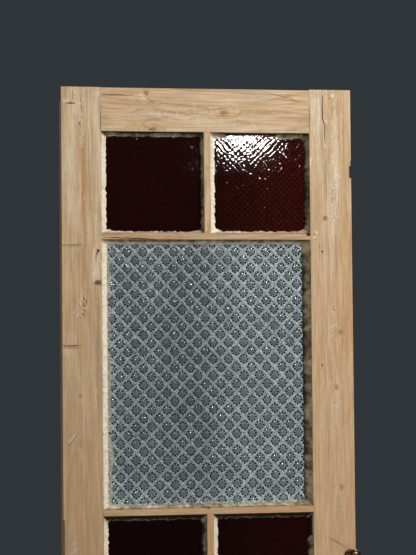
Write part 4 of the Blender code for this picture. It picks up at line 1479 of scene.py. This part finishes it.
def make_knob(finish):
    low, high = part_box("knob")
    centre_x = (low.x + high.x) / 2
    centre_z = (low.z + high.z) / 2
    form = bmesh.new()
    rings = []
    for radius, depth in knob_line(low, high):
        if radius == 0.0:
            rings.append([form.verts.new((centre_x, depth, centre_z))])
            continue
        ring = []
        for spoke in range(KNOB_SPOKES):
            angle = math.tau * spoke / KNOB_SPOKES
            across, up = math.cos(angle), math.sin(angle)
            dent = max(0.0, noise.noise(Vector((across, depth * 90, up))))
            worn = radius * (1 - KNOB_WEAR * dent)
            ring.append(form.verts.new((centre_x + worn * across, depth, centre_z + worn * up)))
        rings.append(ring)
    for ring, following in zip(rings, rings[1:]):
        for spoke in range(KNOB_SPOKES):
            after = (spoke + 1) % KNOB_SPOKES
            corners = [ring[spoke % len(ring)], ring[after % len(ring)]]
            corners += [following[after % len(following)], following[spoke % len(following)]]
            form.faces.new(dict.fromkeys(corners))
    bmesh.ops.recalc_face_normals(form, faces=form.faces)
    finished_piece("brass_knob", form, [finish], ["knob"], sharp=35.0)


# ---- Stage


CAMERA_AT = (-0.4291, -4.1456, 0.4086)
CAMERA_YAW = -10.06
CAMERA_PITCH = 2.57
CAMERA_ROLL = -0.53
CAMERA_LENS = 131.6
FLOOR_REACH = 3.2
WARM = (1.0, 0.97, 0.93)
LEAF_MIDDLE = (LEAF_WIDTH / 2, 0.0, 0.25)  # the middle of the upper half
Light = namedtuple("Light", "name at target size power colour", defaults=(WARM,))
LIGHTS = (
    Light("pane light", (0.965, -2.95, 1.232), (0.38, 0.0, 0.875), (0.17, 0.06), 2.8),
    Light("pattern light", (0.52, -2.95, 1.50), (0.30, 0.0, 0.25), (0.24, 0.24), 10.0),
    Light("fill light", (-2.4, -1.4, 0.6), LEAF_MIDDLE, (1.6, 1.6), 17.0, (1.0, 0.95, 0.87)),
    Light("back light", (1.9, 2.8, 2.3), LEAF_MIDDLE, (1.6, 1.6), 60.0),
)


def floor_finish(colour):
    finish = Finish("pale floor", roughness=0.75, specular=0.3)
    cloud = finish.noise(finish.place, 1.6, 4.0)
    finish.set("Base Color", finish.shade(colour, finish.span(cloud, 0.3, 0.7, 0.96, 1.03)))
    return finish.material


def add_light(given):
    light = bpy.data.lights.new(given.name, "AREA")
    light.shape = "RECTANGLE"
    light.size, light.size_y = given.size
    light.energy = given.power
    light.color = given.colour
    obj = bpy.data.objects.new(given.name, light)
    obj.location = given.at
    way = Vector(given.target) - Vector(given.at)
    obj.rotation_euler = way.to_track_quat("-Z", "Y").to_euler()
    obj.visible_camera = False
    obj.visible_transmission = False
    bpy.context.scene.collection.objects.link(obj)


def make_stage():
    stage = settings().stage
    scene = bpy.context.scene
    form = bmesh.new()
    bmesh.ops.create_grid(form, x_segments=8, y_segments=8, size=FLOOR_REACH)
    mesh = bpy.data.meshes.new("floor")
    form.to_mesh(mesh)
    form.free()
    floor = bpy.data.objects.new("floor", mesh)
    floor.location = (LEAF_WIDTH / 2, -0.4, LEAF_BOTTOM - 0.001)
    mesh.materials.append(floor_finish(tuple(stage.floor)))
    scene.collection.objects.link(floor)

    world = bpy.data.worlds.new("plain surroundings")
    world.use_nodes = True
    background = world.node_tree.nodes["Background"]
    background.inputs["Color"].default_value = (*stage.backdrop, 1.0)
    background.inputs["Strength"].default_value = 1.0
    scene.world = world

    add_light(Light("key light", (1.85, -1.80, 2.00), LEAF_MIDDLE, (0.9, 0.9), stage.key_power))
    for light in LIGHTS:
        add_light(light)

    camera = bpy.data.objects.new("camera", bpy.data.cameras.new("camera"))
    turn = Matrix.Rotation(math.radians(CAMERA_YAW), 4, "Z")
    turn = turn @ Matrix.Rotation(math.radians(90 + CAMERA_PITCH), 4, "X")
    turn = turn @ Matrix.Rotation(math.radians(CAMERA_ROLL), 4, "Z")
    camera.matrix_world = Matrix.Translation(CAMERA_AT) @ turn
    camera.data.lens = CAMERA_LENS
    camera.data.sensor_width = 36.0
    scene.collection.objects.link(camera)
    scene.camera = camera
    scene.view_settings.view_transform = "Standard"


# ---- Operators, panel and run


class PANTRYDOOR_OT_framing(bpy.types.Operator):
    """Make the stiles, rails, glazing bars and muntins of stripped pine"""

    bl_idname = "pantry_door.framing"
    bl_label = "Framing"

    def execute(self, context):
        crack_dirt_and_shade = crack_dirt_and_shade_finish()
        for member in FRAMING:
            make_member(member, crack_dirt_and_shade)
        return {"FINISHED"}


class PANTRYDOOR_OT_lower_panel(bpy.types.Operator):
    """Make the plain pine panel at the foot of the door"""

    bl_idname = "pantry_door.lower_panel"
    bl_label = "Lower panel"

    def execute(self, context):
        make_member(LOWER_PANEL, crack_dirt_and_shade_finish())
        return {"FINISHED"}


class PANTRYDOOR_OT_ruby_panes(bpy.types.Operator):
    """Make the four small panes of dimpled ruby glass"""

    bl_idname = "pantry_door.ruby_panes"
    bl_label = "Ruby panes"

    def execute(self, context):
        finish = ruby_finish()
        for label in RUBY_PANES:
            dimpled_pane(label, finish)
        return {"FINISHED"}


class PANTRYDOOR_OT_patterned_pane(bpy.types.Operator):
    """Make the large pane with its pattern of daisies on a stippled ground"""

    bl_idname = "pantry_door.patterned_pane"
    bl_label = "Patterned pane"

    def execute(self, context):
        ground = tuple(settings().daisies.ground)
        materials = [
            patterned_finish("clear daisy petals", (0.10, 0.14, 0.18), 0.99, 0.07, 900.0, 0.00001),
            patterned_finish("petal roots", (0.50, 0.60, 0.66), 0.79, 0.09, 1300.0, 0.00001),
            patterned_finish("stippled ground", ground, 0.70, 0.24, 620.0, 0.00045),
            patterned_finish("frosted lines", ground, 0.48, 0.26, 620.0, 0.00055),
            patterned_finish("smeared ground", (0.52, 0.53, 0.43), 0.55, 0.60, 700.0, 0.00050),
        ]
        patterned_pane(materials)
        return {"FINISHED"}


class PANTRYDOOR_OT_putty(bpy.types.Operator):
    """Make the ragged putty round every pane"""

    bl_idname = "pantry_door.putty"
    bl_label = "Putty"

    def execute(self, context):
        finish = putty_finish()
        for label in PANES:
            make_putty(label, finish)
        return {"FINISHED"}


class PANTRYDOOR_OT_knob(bpy.types.Operator):
    """Make the small turned knob of aged brass"""

    bl_idname = "pantry_door.knob"
    bl_label = "Knob"

    def execute(self, context):
        make_knob(brass_finish())
        return {"FINISHED"}


class PANTRYDOOR_OT_stage(bpy.types.Operator):
    """Make the floor, the surroundings, the lights and the camera"""

    bl_idname = "pantry_door.stage"
    bl_label = "Stage"

    def execute(self, context):
        make_stage()
        return {"FINISHED"}


STEPS = (
    PANTRYDOOR_OT_framing,
    PANTRYDOOR_OT_lower_panel,
    PANTRYDOOR_OT_ruby_panes,
    PANTRYDOOR_OT_patterned_pane,
    PANTRYDOOR_OT_putty,
    PANTRYDOOR_OT_knob,
    PANTRYDOOR_OT_stage,
)


class PANTRYDOOR_PT_door(bpy.types.Panel):
    """Lists the door's settings and the steps that make it"""

    bl_idname = "PANTRYDOOR_PT_door"
    bl_label = "Pantry Door"
    bl_space_type = "VIEW_3D"
    bl_region_type = "UI"
    bl_category = "Pantry Door"

    def draw(self, context):
        layout = self.layout
        for group_name in DoorSettings.__annotations__:
            group = getattr(settings(), group_name)
            box = layout.box()
            box.label(text=group_name.capitalize())
            for name in type(group).__annotations__:
                box.prop(group, name)
        for step in STEPS:
            layout.operator(step.bl_idname)


CLASSES = (
    PineSettings, RubySettings, DaisySettings, PuttySettings, KnobSettings, StageSettings,
    DoorSettings, *STEPS, PANTRYDOOR_PT_door,
)


def register():
    for each in CLASSES:
        bpy.utils.register_class(each)
    bpy.types.Scene.pantry_door = bpy.props.PointerProperty(type=DoorSettings)


def unregister():
    del bpy.types.Scene.pantry_door
    for each in reversed(CLASSES):
        bpy.utils.unregister_class(each)


def main():
    register()
    for step in STEPS:
        group, name = step.bl_idname.split(".")
        getattr(getattr(bpy.ops, group), name)()


if __name__ == "__main__":
    main()
